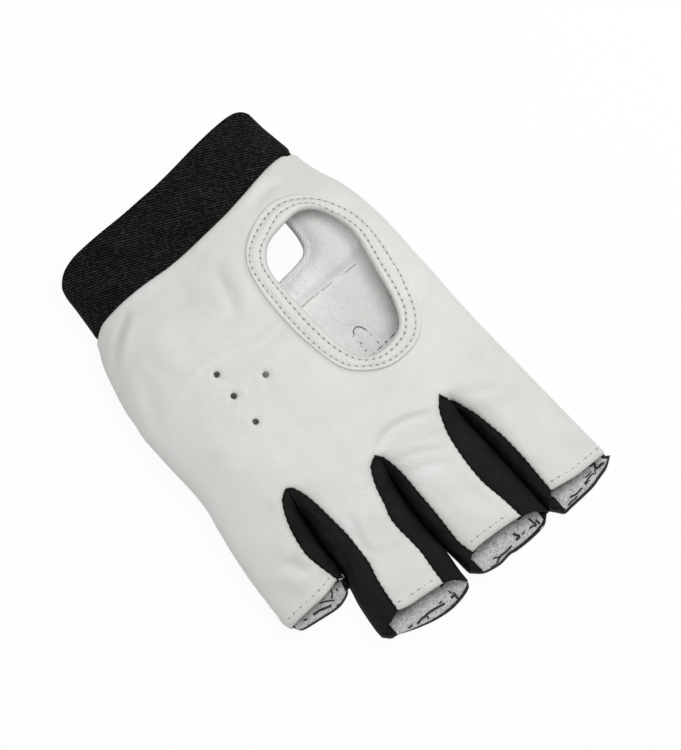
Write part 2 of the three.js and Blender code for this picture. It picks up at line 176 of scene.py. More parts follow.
def smooth_line(points, step, closed=False):
    """A smooth curve through the points, with its own points about a step apart."""
    points = np.asarray(points, float)
    if closed:
        guides = np.vstack([points[-1:], points, points[:2]])
    else:
        guides = np.vstack([2 * points[0] - points[1], points, 2 * points[-1] - points[-2]])
    t = np.linspace(0, 1, 12, endpoint=False)[:, None]
    fine = []
    for a, b, c, d in zip(guides[:-3], guides[1:-2], guides[2:-1], guides[3:]):
        curve = 2 * b + (c - a) * t + (2 * a - 5 * b + 4 * c - d) * t**2
        fine.append(0.5 * (curve + (3 * b - a - 3 * c + d) * t**3))
    fine = np.vstack([*fine, guides[-2:-1]])
    travel = travelled(fine)
    places = np.linspace(0, travel[-1], max(2, round(travel[-1] / step) + 1))
    line = at_travel(places, travel, fine)
    return line[:-1] if closed else line


def line_length(points, closed=False):
    """How long a line through points is."""
    ends = closed_up(points) if closed else points
    return float(np.linalg.norm(np.diff(ends, axis=0), axis=1).sum())


def photo_line(points, height, step=0.8 * MM, closed=False):
    """A smooth line on the table plan through places that the photograph's grid shows."""
    grid = np.asarray(points, float)
    return smooth_line(np.column_stack(seen(grid[:, 0], grid[:, 1], height)), step, closed)


def soft_waves(x, y, seed, shortest, longest, count=10):
    """Calm waves between -1 and 1 or so, the same on each run."""
    chance = np.random.default_rng(seed)
    total = np.zeros(np.shape(x))
    for _ in range(count):
        turn, phase = chance.uniform(0, 2 * math.pi, 2)
        rate = 2 * math.pi / chance.uniform(shortest, longest)
        total = total + np.sin((x * math.cos(turn) + y * math.sin(turn)) * rate + phase)
    return total / math.sqrt(count)


def ease(value):
    """Rises smoothly from 0 to 1 while the value goes from 0 to 1."""
    share = np.clip(value, 0, 1)
    return share * share * (3 - 2 * share)


# How many points are measured at once, which bounds the memory that it takes
AT_ONCE = 2000


def distance_to(points, line, closed=True):
    """How far each point is from a line, and how far along the line its nearest place is."""
    ends = closed_up(line) if closed else line
    a, b = ends[:-1], ends[1:]
    lengths = np.linalg.norm(b - a, axis=1)
    starts = np.concatenate([[0], np.cumsum(lengths)[:-1]])
    nearest, places = np.empty(len(points)), np.empty(len(points))
    for low in range(0, len(points), AT_ONCE):
        part = points[low : low + AT_ONCE, None, :]
        share = ((part - a) * (b - a)).sum(2) / np.maximum(lengths**2, 1e-18)
        share = np.clip(share, 0, 1)
        apart = np.linalg.norm(part - (a + share[..., None] * (b - a)), axis=2)
        pick = apart.argmin(1)
        rows = np.arange(len(pick))
        nearest[low : low + AT_ONCE] = apart[rows, pick]
        places[low : low + AT_ONCE] = starts[pick] + share[rows, pick] * lengths[pick]
    return nearest, places


def inside(points, outline):
    """Which points lie inside a closed outline."""
    x, y = points[:, 0], points[:, 1]
    found = np.zeros(len(points), bool)
    for (ax, ay), (bx, by) in zip(outline, np.roll(outline, -1, axis=0)):
        if ay != by:
            crosses = ((ay > y) != (by > y)) & (x < (bx - ax) * (y - ay) / (by - ay) + ax)
            found ^= crosses
    return found


print("a smooth line of 3 points has", len(smooth_line([(0, 0), (1, 1), (2, 0)], 0.1)), "points")

# %% [markdown]
# ## The form of the hand
# The solids are a tube: a squared ellipse across the hand, 26 mm high over the palm and lower
# towards the wrist and the finger tips. The same tube is kept here as tables. A pattern piece
# is described flat, by its reach across and its place along. Over the palm, reach is the same
# as the place across. Round the sides it goes on along the leather, down to the side seam.

# %% Read the outline of the hand
LEFT_EDGE = [
    (-52.5, -102), (-53, -90), (-54.3, -75), (-54.6, -72), (-55.4, -70), (-57, -60), (-60, -50),
    (-61.5, -40), (-62, -30), (-61.7, -20), (-61, -10), (-60.6, 0), (-59.8, 10), (-59.4, 20),
    (-59.1, 30), (-59, 60), (-59, 95), (-59.2, 98), (-59.2, 106),
]
RIGHT_EDGE = [
    (43, -104), (46, -92), (48, -80), (49, -75), (51.3, -70), (54.3, -65), (56.3, -60),
    (58, -55), (59.7, -50), (61, -45), (61.8, -40), (63, -35), (63.5, -30), (64, -20),
    (64.3, -10), (64.5, -5), (65, 0), (66, 5), (67.5, 10), (68.7, 15), (70, 20), (72, 30),
    (73.5, 40), (74.8, 50), (75.4, 55), (75, 60), (75, 106),
]
WIDEST_HEIGHT = 11.5 * MM
SEAM_HEIGHT = 5 * MM
SINK = 2.5 * MM
# Along the hand in mm: the top's height in mm and the power that squares the section
SECTIONS = np.array([
    (-93, 20.5, 2.3), (-82, 20.8, 2.3), (-73, 21.2, 2.3), (-66.7, 21.8, 2.35), (-59.5, 23, 2.4),
    (-50.5, 24.3, 2.5), (-41.5, 25.1, 2.6), (-32.5, 25.6, 2.7), (-19, 26, 2.8), (-5.5, 26, 2.9),
    (7.9, 25.4, 3.1), (21.3, 24.2, 3.4), (34.8, 22.4, 3.8), (48, 20.6, 4), (64, 18.6, 4),
    (86, 16.6, 4), (110, 16.4, 4),
])

left_edge = photo_line(LEFT_EDGE, WIDEST_HEIGHT, 1 * MM)
right_edge = photo_line(RIGHT_EDGE, WIDEST_HEIGHT, 1 * MM)


def section_at(along):
    """The left and right edge, the top's height and the power of the hand's section."""
    left = np.interp(along, left_edge[:, 1], left_edge[:, 0])
    right = np.interp(along, right_edge[:, 1], right_edge[:, 0])
    top = np.interp(along, SECTIONS[:, 0] * MM, SECTIONS[:, 1] * MM)
    power = np.interp(along, SECTIONS[:, 0] * MM, SECTIONS[:, 2])
    return left, right, top, power


def section_curve(along, shoulder=0.85):
    """The section at one place, from the left seam over the top to the right seam."""
    left, right, top, power = section_at(along)
    half, middle = (right - left) / 2, (left + right) / 2
    tall, centre = (top + SINK) / 2, (top - SINK) / 2
    shoulder_height = centre + tall * (1 - shoulder**power) ** (1 / power)
    up = np.linspace(SEAM_HEIGHT, shoulder_height, 60)[:-1]
    wide = half * (1 - np.abs((up - centre) / tall) ** power) ** (1 / power)
    over = np.linspace(-shoulder, shoulder, 141)
    arch = centre + tall * (1 - np.abs(over) ** power) ** (1 / power)
    x = np.concatenate([middle - wide, middle + half * over, (middle + wide)[::-1]])
    z = np.concatenate([up, arch, up[::-1]])
    return x, z


ALONG_STEPS = np.arange(-95, 102, 1) * MM
curves = [section_curve(along) for along in ALONG_STEPS]
CURVE_X = np.array([x for x, _ in curves])
CURVE_Z = np.array([z for _, z in curves])
pace = np.hypot(np.diff(CURVE_X, axis=1), np.diff(CURVE_Z, axis=1))
CURVE_REACH = np.hstack([np.zeros((len(curves), 1)), np.cumsum(pace, axis=1)])
centre_column = CURVE_X.shape[1] // 2
CURVE_REACH += (CURVE_X - CURVE_REACH)[:, centre_column : centre_column + 1]


def between_steps(along, read):
    """Reads a table of the sections at each place along, mixing the two nearest rows."""
    step = np.clip((along - ALONG_STEPS[0]) / MM, 0, len(ALONG_STEPS) - 1.001)
    row, share = step.astype(int), step - step.astype(int)
    result = np.empty(len(along))
    for number in np.unique(row):
        pick = row == number
        here, next_row = read(number, pick), read(number + 1, pick)
        result[pick] = here * (1 - share[pick]) + next_row * share[pick]
    return result


def on_hand(reach, along):
    """Where a flat place of a pattern piece lies on the hand's tube."""
    reach, along = np.asarray(reach, float), np.asarray(along, float)
    return tuple(
        between_steps(along, lambda n, pick: np.interp(reach[pick], CURVE_REACH[n], table[n]))
        for table in (CURVE_X, CURVE_Z)
    )


def to_reach(across, along):
    """The reach of a place seen from above."""
    across, along = np.asarray(across, float), np.asarray(along, float)

    def read(number, pick):
        widest = slice(CURVE_X[number].argmin(), CURVE_X[number].argmax() + 1)
        return np.interp(across[pick], CURVE_X[number][widest], CURVE_REACH[number][widest])

    return between_steps(along, read)


left, right, _, _ = section_at(20 * MM)
print("the hand is %.0f mm wide at the knuckles" % ((right - left) / MM))

# %% [markdown]
# ## The fingers
# Between two fingers the leather is slit, and a black stretch wall runs down each side of the
# slit to a crease. Seen from above, each finger therefore lies between two lines. Its top is
# the hand's own top, pressed down towards those lines, and the press grows from nothing at the
# root of the slit. One height function does all of this, so leather, walls and thread agree.

# %% Read the slits and creases between the fingers
SLIT_LEFT = [
    [(-29, 34.7), (-31.5, 40), (-33, 45), (-34.3, 50), (-35.3, 60), (-35.5, 65), (-35.2, 75),
     (-34.3, 85), (-33.8, 91)],
    [(5, 33.8), (3, 37), (2.2, 45), (3, 55), (3.8, 65), (5, 75), (5.5, 80), (4.6, 86.4)],
    [(38.3, 18.4), (36, 20.5), (34.3, 28), (33.9, 40), (34, 50), (35.3, 60), (37.5, 67),
     (39, 73), (40.6, 82)],
]
SLIT_RIGHT = [
    [(-29, 34.7), (-25, 39), (-22, 45), (-20.3, 50), (-18.3, 60), (-17.4, 70), (-18.3, 80),
     (-18.6, 89.8)],
    [(5, 33.8), (8, 35), (10, 37), (13, 43), (15.5, 50), (17.7, 56), (18.2, 67), (18.3, 72),
     (19.7, 80), (20.7, 86.9)],
    [(38.3, 18.4), (42, 20.5), (45, 25), (48, 32), (50, 40), (50.2, 44), (49.3, 50), (48, 57)],
]
HEMS = [
    [(-59, 95.3), (-52, 94.7), (-45, 94), (-40, 92.7), (-33.8, 91)],
    [(-18.6, 89.8), (-10, 88), (0, 86.6), (4.6, 86.4)],
    [(20.7, 86.9), (30, 85), (36, 83.8), (40.6, 82)],
    [(48, 57), (56, 58), (65, 57.6), (74, 57.3)],
]
CREASE_LEFT = [
    [(-29, 34.7), (-29, 45), (-28.8, 60), (-27.9, 80), (-27.1, 97), (-26.6, 108)],
    [(5, 33.8), (8, 48), (10, 58), (11.1, 70), (11.3, 79), (11.1, 91), (11, 108)],
    [(38.3, 18.4), (39.5, 22), (42, 32), (44, 43), (45.5, 55), (47.2, 61), (48.4, 65),
     (50, 70), (52, 80), (52.4, 86), (52.4, 108)],
]
CREASE_RIGHT = [
    [(-29, 34.7), (-29, 45), (-28.8, 60), (-27.9, 80), (-26.9, 97), (-25.6, 108)],
    [(5, 33.8), (8, 48), (10, 58), (11.1, 70), (11.5, 79), (13.4, 91), (13.8, 108)],
    [(38.3, 18.4), (39.5, 22), (42, 32), (44, 43), (45.5, 55), (47.2, 61), (48.4, 65),
     (48.7, 70), (48.7, 108)],
]
FINGER_HALF = [13.2 * MM, 15.4 * MM, 15.7 * MM, 12.5 * MM]
CREASE_HEIGHT = 5.5 * MM
FINGERS = ["index", "middle", "ring", "little"]
# The power that squares a finger's section
FINGER_POWER = 2.7
# Roughly how high the leather lies, in metres, at some places along the grid
ROUGH_ALONG, ROUGH_HEIGHT = [-75, -20, 20, 95], [0.021, 0.025, 0.0225, 0.0165]


def leather_line(points, step=0.8 * MM, closed=False):
    """A smooth line on the plan through grid places on the leather."""
    height = np.interp(np.asarray(points, float)[:, 1], ROUGH_ALONG, ROUGH_HEIGHT)
    return photo_line(points, height, step, closed)


slit_left = [leather_line(points) for points in SLIT_LEFT]
slit_right = [leather_line(points) for points in SLIT_RIGHT]
hems = [leather_line(points) for points in HEMS]
crease_left = [photo_line(points, CREASE_HEIGHT, 1 * MM) for points in CREASE_LEFT]
crease_right = [photo_line(points, CREASE_HEIGHT, 1 * MM) for points in CREASE_RIGHT]
roots = np.array([line[0] for line in slit_left])
ROOT_RISE = 13 * MM


def across_at(line, along):
    """Where a line that runs along the hand crosses each place along."""
    order = np.argsort(line[:, 1])
    return np.interp(along, line[order, 1], line[order, 0])


def finger_share(across, along):
    """From 0 on the palm to 1 on the fingers, seen from above."""
    start = np.interp(across, roots[:, 0], roots[:, 1])
    return ease((along - start) / ROOT_RISE)


def roundness(finger, across, along):
    """How near its full height a finger's section is at a place, from 0 at its edge to 1."""
    share = np.ones(np.shape(across))
    if finger > 0:
        apart = across - across_at(crease_right[finger - 1], along)
        share = np.minimum(share, apart / FINGER_HALF[finger])
    if finger < 3:
        apart = across_at(crease_left[finger], along) - across
        share = np.minimum(share, apart / FINGER_HALF[finger])
    share = np.clip(share, 0, 1)
    return (1 - (1 - share) ** FINGER_POWER) ** (1 / FINGER_POWER)


def finger_of(across, along):
    """Which finger's column a place is in, from 0 to 3."""
    bounds = [
        (across_at(left, along) + across_at(right, along)) / 2
        for left, right in zip(crease_left, crease_right)
    ]
    return sum((across > bound).astype(int) for bound in bounds)


print("slits start at", (roots / MM).round(1).tolist(), "mm")

# %% [markdown]
# ## The wrinkles of the palm
# Worn leather shows a few soft folds: where the fingers bend, at the heel of the hand, and
# beside the thumb hole. Each is a line with a small dip and a swelling beside it. They are
# part of the height function, so thread and facing follow them.

# %% Read the folds of the leather
# Each fold: its line on the grid, its depth in mm, its width in mm, and the side that swells
FOLDS = [
    ([(-2.6, -62), (-0.5, -54.5), (2.1, -46.7), (6.5, -40.8)], 0.7, 2.5, 1),
    ([(36.6, -35.2), (28, -34.9), (20.9, -34.1), (15, -30), (11.5, -26.8), (2, -25.5),
      (-6.5, -26.5)], 0.3, 1.1, 1),
    ([(22, -39), (14, -35.5), (6, -32), (-2, -30.5), (-6.8, -30.5)], 0.25, 1.1, -1),
    ([(4, 33), (-3.5, 30.7), (-12.8, 32.4), (-22.6, 38)], 0.6, 1.3, 1),
    ([(3, 40.5), (-5, 43), (-14, 49), (-18, 52)], 0.25, 1.1, 1),
    ([(27.7, 43), (31.5, 51.7), (33.2, 60.7)], 0.8, 1.6, 1),
    ([(57, 38), (56, 44), (54, 49)], 1.1, 2.6, -1),
    ([(31.9, -73.4), (40.3, -70.2), (48.5, -65.2), (54.7, -60)], 0.95, 1.8, 1),
    ([(44.9, -54), (51, -44), (56, -34), (59, -26)], 0.7, 3.2, -1),
    ([(38, -60), (40, -50), (39, -42)], 0.35, 2.6, 1),
    ([(-28, -66.6), (-36.7, -68.8), (-46.2, -66.3)], 0.6, 1.8, 1),
    ([(1.9, 48), (-7.3, 51.4), (-12.5, 56)], 0.35, 1.5, -1),
    ([(-31, 37), (-41, 44.8), (-50, 49.2)], 0.3, 1.8, -1),
    ([(-57.4, -20.9), (-55.8, -16), (-54.1, -11.2), (-51.1, -7.6)], 0.45, 0.9, -1),
    ([(14, 58), (20, 66), (22, 76)], 0.3, 2, 1),
    ([(-14, 62), (-11, 72), (-13, 82)], 0.35, 2.5, -1),
    ([(60, -20), (55, -5), (58, 12)], 0.4, 4, 1),
    ([(-52, 62), (-47, 74), (-46, 86)], 0.35, 3, 1),
]
fold_lines = [
    (leather_line(points, 1 * MM), depth * MM, width * MM, side)
    for points, depth, width, side in FOLDS
]


def relief(across, along):
    """How far folds and waves lift or sink the leather at places seen from above."""
    points = np.column_stack([across, along])
    heel = ease((-0.025 - along) / 0.03)
    lift = 0.28 * MM * (1 + 0.7 * heel) * soft_waves(across, along, 3, 22 * MM, 50 * MM)
    lift += 0.07 * MM * soft_waves(across, along, 4, 7 * MM, 14 * MM, 16)
    for line, depth, width, side in fold_lines:
        reach = np.ptp(line, axis=0).max() / 2 + 6 * width
        near = np.flatnonzero(np.abs(points - line.mean(0)).max(1) < reach)
        if len(near):
            apart, place = distance_to(points[near], line, closed=False)
            length = line_length(line)
            ends = np.sin(math.pi * np.clip(place / length, 0, 1)) ** 0.6
            step = np.searchsorted(np.linspace(0, length, len(line)), place)
            step = np.clip(step, 1, len(line) - 1)
            way = line[step] - line[step - 1]
            offset = points[near] - line[step]
            swell_side = np.sign(way[:, 0] * offset[:, 1] - way[:, 1] * offset[:, 0]) * side
            swell = 0.7 * np.exp(-(((apart - 1.7 * width) / (1.3 * width)) ** 2))
            shape = -np.exp(-((apart / width) ** 2))
            shape += swell * (swell_side > 0)
            lift[near] += depth * ends * shape
    return lift


def finger_top(finger, reach, along):
    """The place across, the height without folds, and how flat the leather lies there."""
    across, height = on_hand(reach, along)
    share = finger_share(across, along)
    fullness = 1 - share * (1 - roundness(finger, across, along))
    if finger == 3:
        fullness = fullness * (1 - 0.2 * ease((along - 0.02) / 0.034))
    top = section_at(along)[2]
    flat = ease((height - 0.55 * top) / (0.3 * top))
    return across, SEAM_HEIGHT + (height - SEAM_HEIGHT) * fullness, flat


def leather_face(reach, along, lift=0):
    """Where a flat place of the leather lies in space, folds included."""
    reach, along = np.asarray(reach, float), np.asarray(along, float)
    across, _ = on_hand(reach, along)
    finger = finger_of(across, along)
    place = np.empty((len(reach), 3))
    for number in range(4):
        pick = finger == number
        if pick.any():
            x, z, flat = finger_top(number, reach[pick], along[pick])
            z = z + flat * (relief(x, along[pick]) + lift)
            place[pick] = np.column_stack([x, along[pick], z])
    return place


def over_plan(across, along, lift=0):
    """The leather's outer face above places seen from above."""
    return leather_face(to_reach(across, along), along, lift)


palm_height = over_plan(np.zeros(1), np.zeros(1))[0, 2]
print("the palm is %.1f mm high at its middle" % (palm_height / MM))

# %% [markdown]
# ## Cutting and sewing
# Sheets are made as a glove maker makes them: a flat piece is cut out with its holes, laid
# over the form, and then given its thickness. A triangulation fills any outline, which a
# grid of squares could not do without stepped edges. Extra rows just inside the edge let the
# edge roll over, as a turned hem does.

# %% Helpers for sheets
def twice_area(flat, faces):
    """Twice the area of each flat triangle, below zero where it turns to the right."""
    corners = flat[faces]
    a, b = corners[:, 1] - corners[:, 0], corners[:, 2] - corners[:, 0]
    return a[:, 0] * b[:, 1] - a[:, 1] * b[:, 0]


def cut_sheet(outline, holes, step, edge_rows=(0.4, 0.9, 1.5)):
    """Points and triangles of a flat piece: its rims, rows just inside them, and an even fill."""
    rims = [outline, *holes]
    low, high = outline.min(0), outline.max(0)
    rows = np.arange(low[1], high[1], step * 0.866)
    columns = np.arange(low[0], high[0], step)
    fill = np.array([(x + (i % 2) * step / 2, y) for i, y in enumerate(rows) for x in columns])
    beside = [(fill, edge_rows[-1] * MM + 0.45 * step)]
    for rim in rims:
        way = unit(np.roll(rim, -1, axis=0) - np.roll(rim, 1, axis=0))
        normal = np.column_stack([-way[:, 1], way[:, 0]])
        for row in edge_rows:
            beside += [(rim + side * normal * row * MM, row * MM * 0.93) for side in (-1, 1)]
    kept = list(rims)
    for points, clearance in beside:
        points = points[inside(points, outline)]
        for hole in holes:
            points = points[~inside(points, hole)]
        if len(points):
            apart = np.min([distance_to(points, rim)[0] for rim in rims], axis=0)
            kept.append(points[apart > clearance])
    points = np.vstack(kept)
    edges, start = [], 0
    for rim in rims:
        numbers = np.arange(len(rim)) + start
        edges += list(zip(numbers.tolist(), np.roll(numbers, -1).tolist()))
        start += len(rim)
    made = geometry.delaunay_2d_cdt([Vector(p) for p in points], edges, [], 0, 1e-7)
    flat = np.array([tuple(v) for v in made[0]])
    faces = np.array([f for f in made[2] if len(f) == 3])
    middle = flat[faces].mean(1)
    keep = inside(middle, outline)
    for hole in holes:
        keep &= ~inside(middle, hole)
    faces = faces[keep]
    area = twice_area(flat, faces)
    faces[area < 0] = faces[area < 0][:, ::-1]
    return flat, faces[np.abs(area) > 1e-12]


def new_piece(name, points, faces):
    """A mesh object made of the points that its faces use, shaded smooth."""
    used = np.unique(np.concatenate([np.asarray(face) for face in faces]))
    renumber = {int(old): new for new, old in enumerate(used)}
    corners = [[renumber[int(v)] for v in face] for face in faces]
    mesh = bpy.data.meshes.new(name)
    mesh.from_pydata(np.asarray(points)[used].tolist(), [], corners)
    mesh.polygons.foreach_set("use_smooth", [True] * len(mesh.polygons))
    mesh.update()
    piece = bpy.data.objects.new(name, mesh)
    bpy.context.scene.collection.objects.link(piece)
    return piece


def choose(piece):
    """Selects one piece alone and makes it the active one."""
    bpy.ops.object.select_all(action="DESELECT")
    bpy.context.view_layer.objects.active = piece
    piece.select_set(True)


def finish_with(piece, kind, **settings):
    """Adds a modifier, sets it and applies it."""
    choose(piece)
    modifier = piece.modifiers.new(kind.title(), kind)
    for name, value in settings.items():
        setattr(modifier, name, value)
    bpy.ops.object.modifier_apply(modifier=modifier.name)
    return piece


def thicken(piece, thickness):
    """Gives a sheet its thickness, inwards."""
    return finish_with(piece, "SOLIDIFY", thickness=thickness, offset=-1)


def face_outward(piece):
    """Turns all faces of a closed piece outwards."""
    choose(piece)
    bpy.ops.object.mode_set(mode="EDIT")
    bpy.ops.mesh.select_all(action="SELECT")
    bpy.ops.mesh.normals_make_consistent(inside=False)
    bpy.ops.object.mode_set(mode="OBJECT")


def faces_between(rows, around, loop=False, strip=False):
    """The four-sided faces between rows of points.

    The rows close to rings, or stay open as strips. Where they make a loop, the last row
    also meets the first.
    """
    faces = []
    for row in range(rows if loop else rows - 1):
        a, b = row * around, (row + 1) % rows * around
        for i in range(around - 1 if strip else around):
            j = (i + 1) % around
            faces.append((a + i, a + j, b + j, b + i))
    return faces


def turned_over(faces):
    """The same faces, seen from their other side, each from the same first corner."""
    return [(face[0], *face[:0:-1]) for face in faces]


def end_caps(rows, around):
    """The two faces that close the ends of a tube of rings."""
    last = (rows - 1) * around
    return [tuple(range(around)), tuple(reversed(range(last, last + around)))]


def face_normals(points, faces):
    """The mean outward direction at each point of a sheet."""
    a, b, c = (points[faces[:, i]] for i in range(3))
    cross = np.cross(b - a, c - a)
    normals = np.zeros_like(points)
    for i in range(3):
        np.add.at(normals, faces[:, i], cross)
    return unit(normals)


def declare_sheet(piece, size, area):
    """Prints the width, length and area of a piece's flat cut."""
    size = tuple(float(v) for v in size)
    mm = [v / MM for v in size]
    print(piece.name, "is cut from %.0f x %.0f mm, %.1f square cm" % (*mm, area * 1e4))


def declare_cut(piece, flat, faces):
    """Says the same from the triangles of the flat cut."""
    size = np.ptp(flat[np.unique(faces)], axis=0)
    declare_sheet(piece, size, np.abs(twice_area(flat, faces)).sum() / 2)


def split_fingers(name, flat, points, faces, thickness):
    """Cuts a sheet of hand and fingers into the hand's part and one part for each finger.

    Each part gets its thickness here. Along the cuts it keeps the whole sheet's shading, so
    that no line shows there.
    """
    lead = finger_of(points[:, 0], points[:, 1])[faces]
    owner = np.full(len(faces), -1)
    for number in range(4):
        past = past_start(number, points)
        owner[(past[faces] & (lead == number)).any(1)] = number
    users = np.zeros(len(points), int)
    parts = [np.unique(faces[owner == number]) for number in range(-1, 4)]
    for part in parts:
        users[part] += 1
    normals = face_normals(points, faces)
    names = [name] + [f"{finger_name}_{name}" for finger_name in FINGERS]
    pieces = []
    for number, (part_name, part) in enumerate(zip(names, parts)):
        own = faces[owner == number - 1]
        piece = new_piece(part_name, points, own)
        thicken(piece, thickness)
        mesh = piece.data
        shared = np.zeros((len(mesh.loops), 3))
        loops = own.ravel()
        at_cut = np.flatnonzero(users[loops] > 1)
        shared[at_cut] = normals[loops[at_cut]]
        mesh.normals_split_custom_set(shared.tolist())
        declare_cut(piece, flat, own)
        pieces.append(piece)
    return pieces


# %% [markdown]
# ## Where a finger bends
# Each finger turns about its flex line. Each finger gets a start line before it and an end
# line past it, but nothing here bends the cloth between them. The start lines run through the
# roots of the slits, so the sheets are split there and nothing shows at rest.

# %% Set the start and end of each bend
# How far each finger leans, the middle of its flex line, and the slit root that its start
# line runs through
LEANS = [math.radians(v) for v in (1.05, 4.8, 8.65, 8.35)]
FLEX_MM = [(-45.66, 34.42, 22), (-16.16, 34.42, 22), (15.77, 32.10, 22), (43.87, 19.0, 22)]
FLEX = [Vector(place) * MM for place in FLEX_MM]
START_ROOTS = [0, 1, 1, 2]
AFTER_FLEX = [8 * MM, 8 * MM, 7 * MM, 7 * MM]
finger_way = [Vector((math.sin(lean), math.cos(lean), 0)) for lean in LEANS]
bend_start = []
for number in range(4):
    root = Vector((*roots[START_ROOTS[number]], 0))
    to_root = (root - FLEX[number]).dot(finger_way[number])
    bend_start.append(FLEX[number] + finger_way[number] * to_root)
bend_end = [FLEX[i] + finger_way[i] * AFTER_FLEX[i] for i in range(4)]


def past_start(number, points):
    """Which points lie past a finger's start line."""
    way, start = finger_way[number], bend_start[number]
    return (points[:, 0] - start.x) * way.x + (points[:, 1] - start.y) * way.y > 1e-6


def bend_with_finger(piece, number):
    """Bakes a piece's place into its mesh; the finger's bend start and end are looked up, but
    nothing bends it.
    """
    start, end = bend_start[number], bend_end[number]
    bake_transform(piece)
    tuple(start)
    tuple(end)


def put_on_bodies(pieces, of_hand, of_finger):
    """Puts the hand's piece on the hand's body, bakes the four fingers' pieces in place, and hides
    the solids they replace.
    """
    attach(pieces[0], "hand")
    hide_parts(*of_hand)
    for number, (finger, piece) in enumerate(zip(FINGERS, pieces[1:])):
        bend_with_finger(piece, number)
        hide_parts(*(f"{finger}_{solid}" for solid in of_finger))


for number in range(4):
    before = (bend_start[number] - FLEX[number]).length / MM
    print(FINGERS[number], "bends from %.1f mm before its flex line" % before)

# %% [markdown]
# ## The palm leather
# On the real glove one hide covers the palm, wraps both sides and runs on as the four finger
# fronts. It is cut here the same way: one outline, with the slits, the thumb hole and four
# punched vents, laid over the form and given one millimetre of thickness. Cutting one sheet
# and splitting it at the bends keeps the grain and the folds unbroken from palm to finger.

# %% Draw the leather's outline
WRIST_EDGE = [
    (-54.6, -73.4), (-52.2, -74.7), (-46, -74.9), (-40, -74.5), (-30, -73.6), (-20, -72.8),
    (-10, -72.7), (0, -73), (10, -74), (20, -75.8), (30, -77.2), (40, -77.8), (44, -77.5),
    (48.8, -75.5),
]
FACING_INNER = [
    (-14.4, -20), (-14.7, -8), (-15.6, -1), (-17.6, 3.4), (-20.6, 6.2), (-24.5, 7.7), (-29, 8),
    (-33.5, 7.5), (-37, 6), (-39.6, 3.3), (-41.3, 0.5), (-43, -3), (-44.5, -7), (-46.9, -15),
    (-49.2, -23), (-51.2, -31), (-51.6, -36), (-50.4, -43), (-48.2, -48.6), (-44.5, -53),
    (-40, -55.1), (-35, -55.4), (-28, -55), (-24, -54.1), (-21.5, -52.7), (-19, -50.5),
    (-17.2, -48), (-16, -45.2), (-15.3, -41), (-14.8, -33),
]
VENTS = [(28, -8), (12.7, -18), (27, -21), (25.8, -31.5)]
VENT_RADIUS, VENT_SIDES = 1.05 * MM, 14
LEATHER_STEP = 1.15 * MM
LEATHER_THICKNESS = 1 * MM
STITCH_PITCH = 2.4 * MM


def scalloped(line, depth=0.13 * MM, pitch=STITCH_PITCH):
    """A sewn edge, drawn in a little at each stitch."""
    travel = travelled(line)
    wave = depth * np.sin(2 * math.pi * travel / pitch) * ease(travel / (4 * MM))
    return line + left_of(line) * wave[:, None]


def flat_of(line):
    """A line seen from above, as a line on the flat pattern."""
    return np.column_stack([to_reach(line[:, 0], line[:, 1]), line[:, 1]])


def line_along(low, high, across, step=1.2 * MM):
    """A line from low to high along the hand, where a function gives the place across."""
    along = np.linspace(low, high, max(2, round(abs(high - low) / step)))
    return np.column_stack([across(along), along])


def seam_line(low, high, side):
    """The left (0) or right (-1) side seam on the flat pattern."""
    reach = CURVE_REACH[:, side]
    return line_along(low, high, lambda along: np.interp(along, ALONG_STEPS, reach), 0.8 * MM)


def joined(parts, step=0.8 * MM):
    """One closed outline from its parts, with long gaps filled and double points dropped."""
    points = np.vstack(parts)
    filled = []
    for a, b in zip(points, np.roll(points, -1, axis=0)):
        length = np.linalg.norm(b - a)
        if length > 0.25 * step:
            pieces = max(1, round(length / step))
            filled += [a + (b - a) * i / pieces for i in range(pieces)]
    return np.array(filled)


wrist = flat_of(leather_line(WRIST_EDGE))
cut_left = [flat_of(scalloped(line)) for line in slit_left]
cut_right = [flat_of(scalloped(line)) for line in slit_right]
cut_hems = [flat_of(line) for line in hems]
leather_outline = joined([
    wrist,
    seam_line(wrist[-1, 1], cut_hems[3][-1, 1], -1), cut_hems[3][::-1],
    cut_right[2][::-1], cut_left[2], cut_hems[2][::-1],
    cut_right[1][::-1], cut_left[1], cut_hems[1][::-1],
    cut_right[0][::-1], cut_left[0], cut_hems[0][::-1],
    seam_line(cut_hems[0][0, 1], wrist[0, 1], 0),
])
hole_edge = leather_line(FACING_INNER, closed=True)
hole_middle = hole_edge.mean(0)
leather_hole = flat_of(hole_middle + (hole_edge - hole_middle) * 1.03)
vent_places = np.column_stack(seen([x for x, _ in VENTS], [y for _, y in VENTS], 0.025))
vent_turns = np.linspace(0, 2 * math.pi, VENT_SIDES, endpoint=False)
vent_rim = np.column_stack([np.cos(vent_turns), np.sin(vent_turns)]) * VENT_RADIUS
vent_holes = [flat_of(place + vent_rim) for place in vent_places]
print("leather outline:", len(leather_outline), "points round")

# %% Cut and lay the leather
leather_flat, leather_faces = cut_sheet(leather_outline, [leather_hole, *vent_holes], LEATHER_STEP)
leather_points = leather_face(leather_flat[:, 0], leather_flat[:, 1])
leather_out = face_normals(leather_points, leather_faces)
rims = [leather_outline, *vent_holes]
rim_apart = np.min([distance_to(leather_flat, rim)[0] for rim in rims], axis=0) / MM
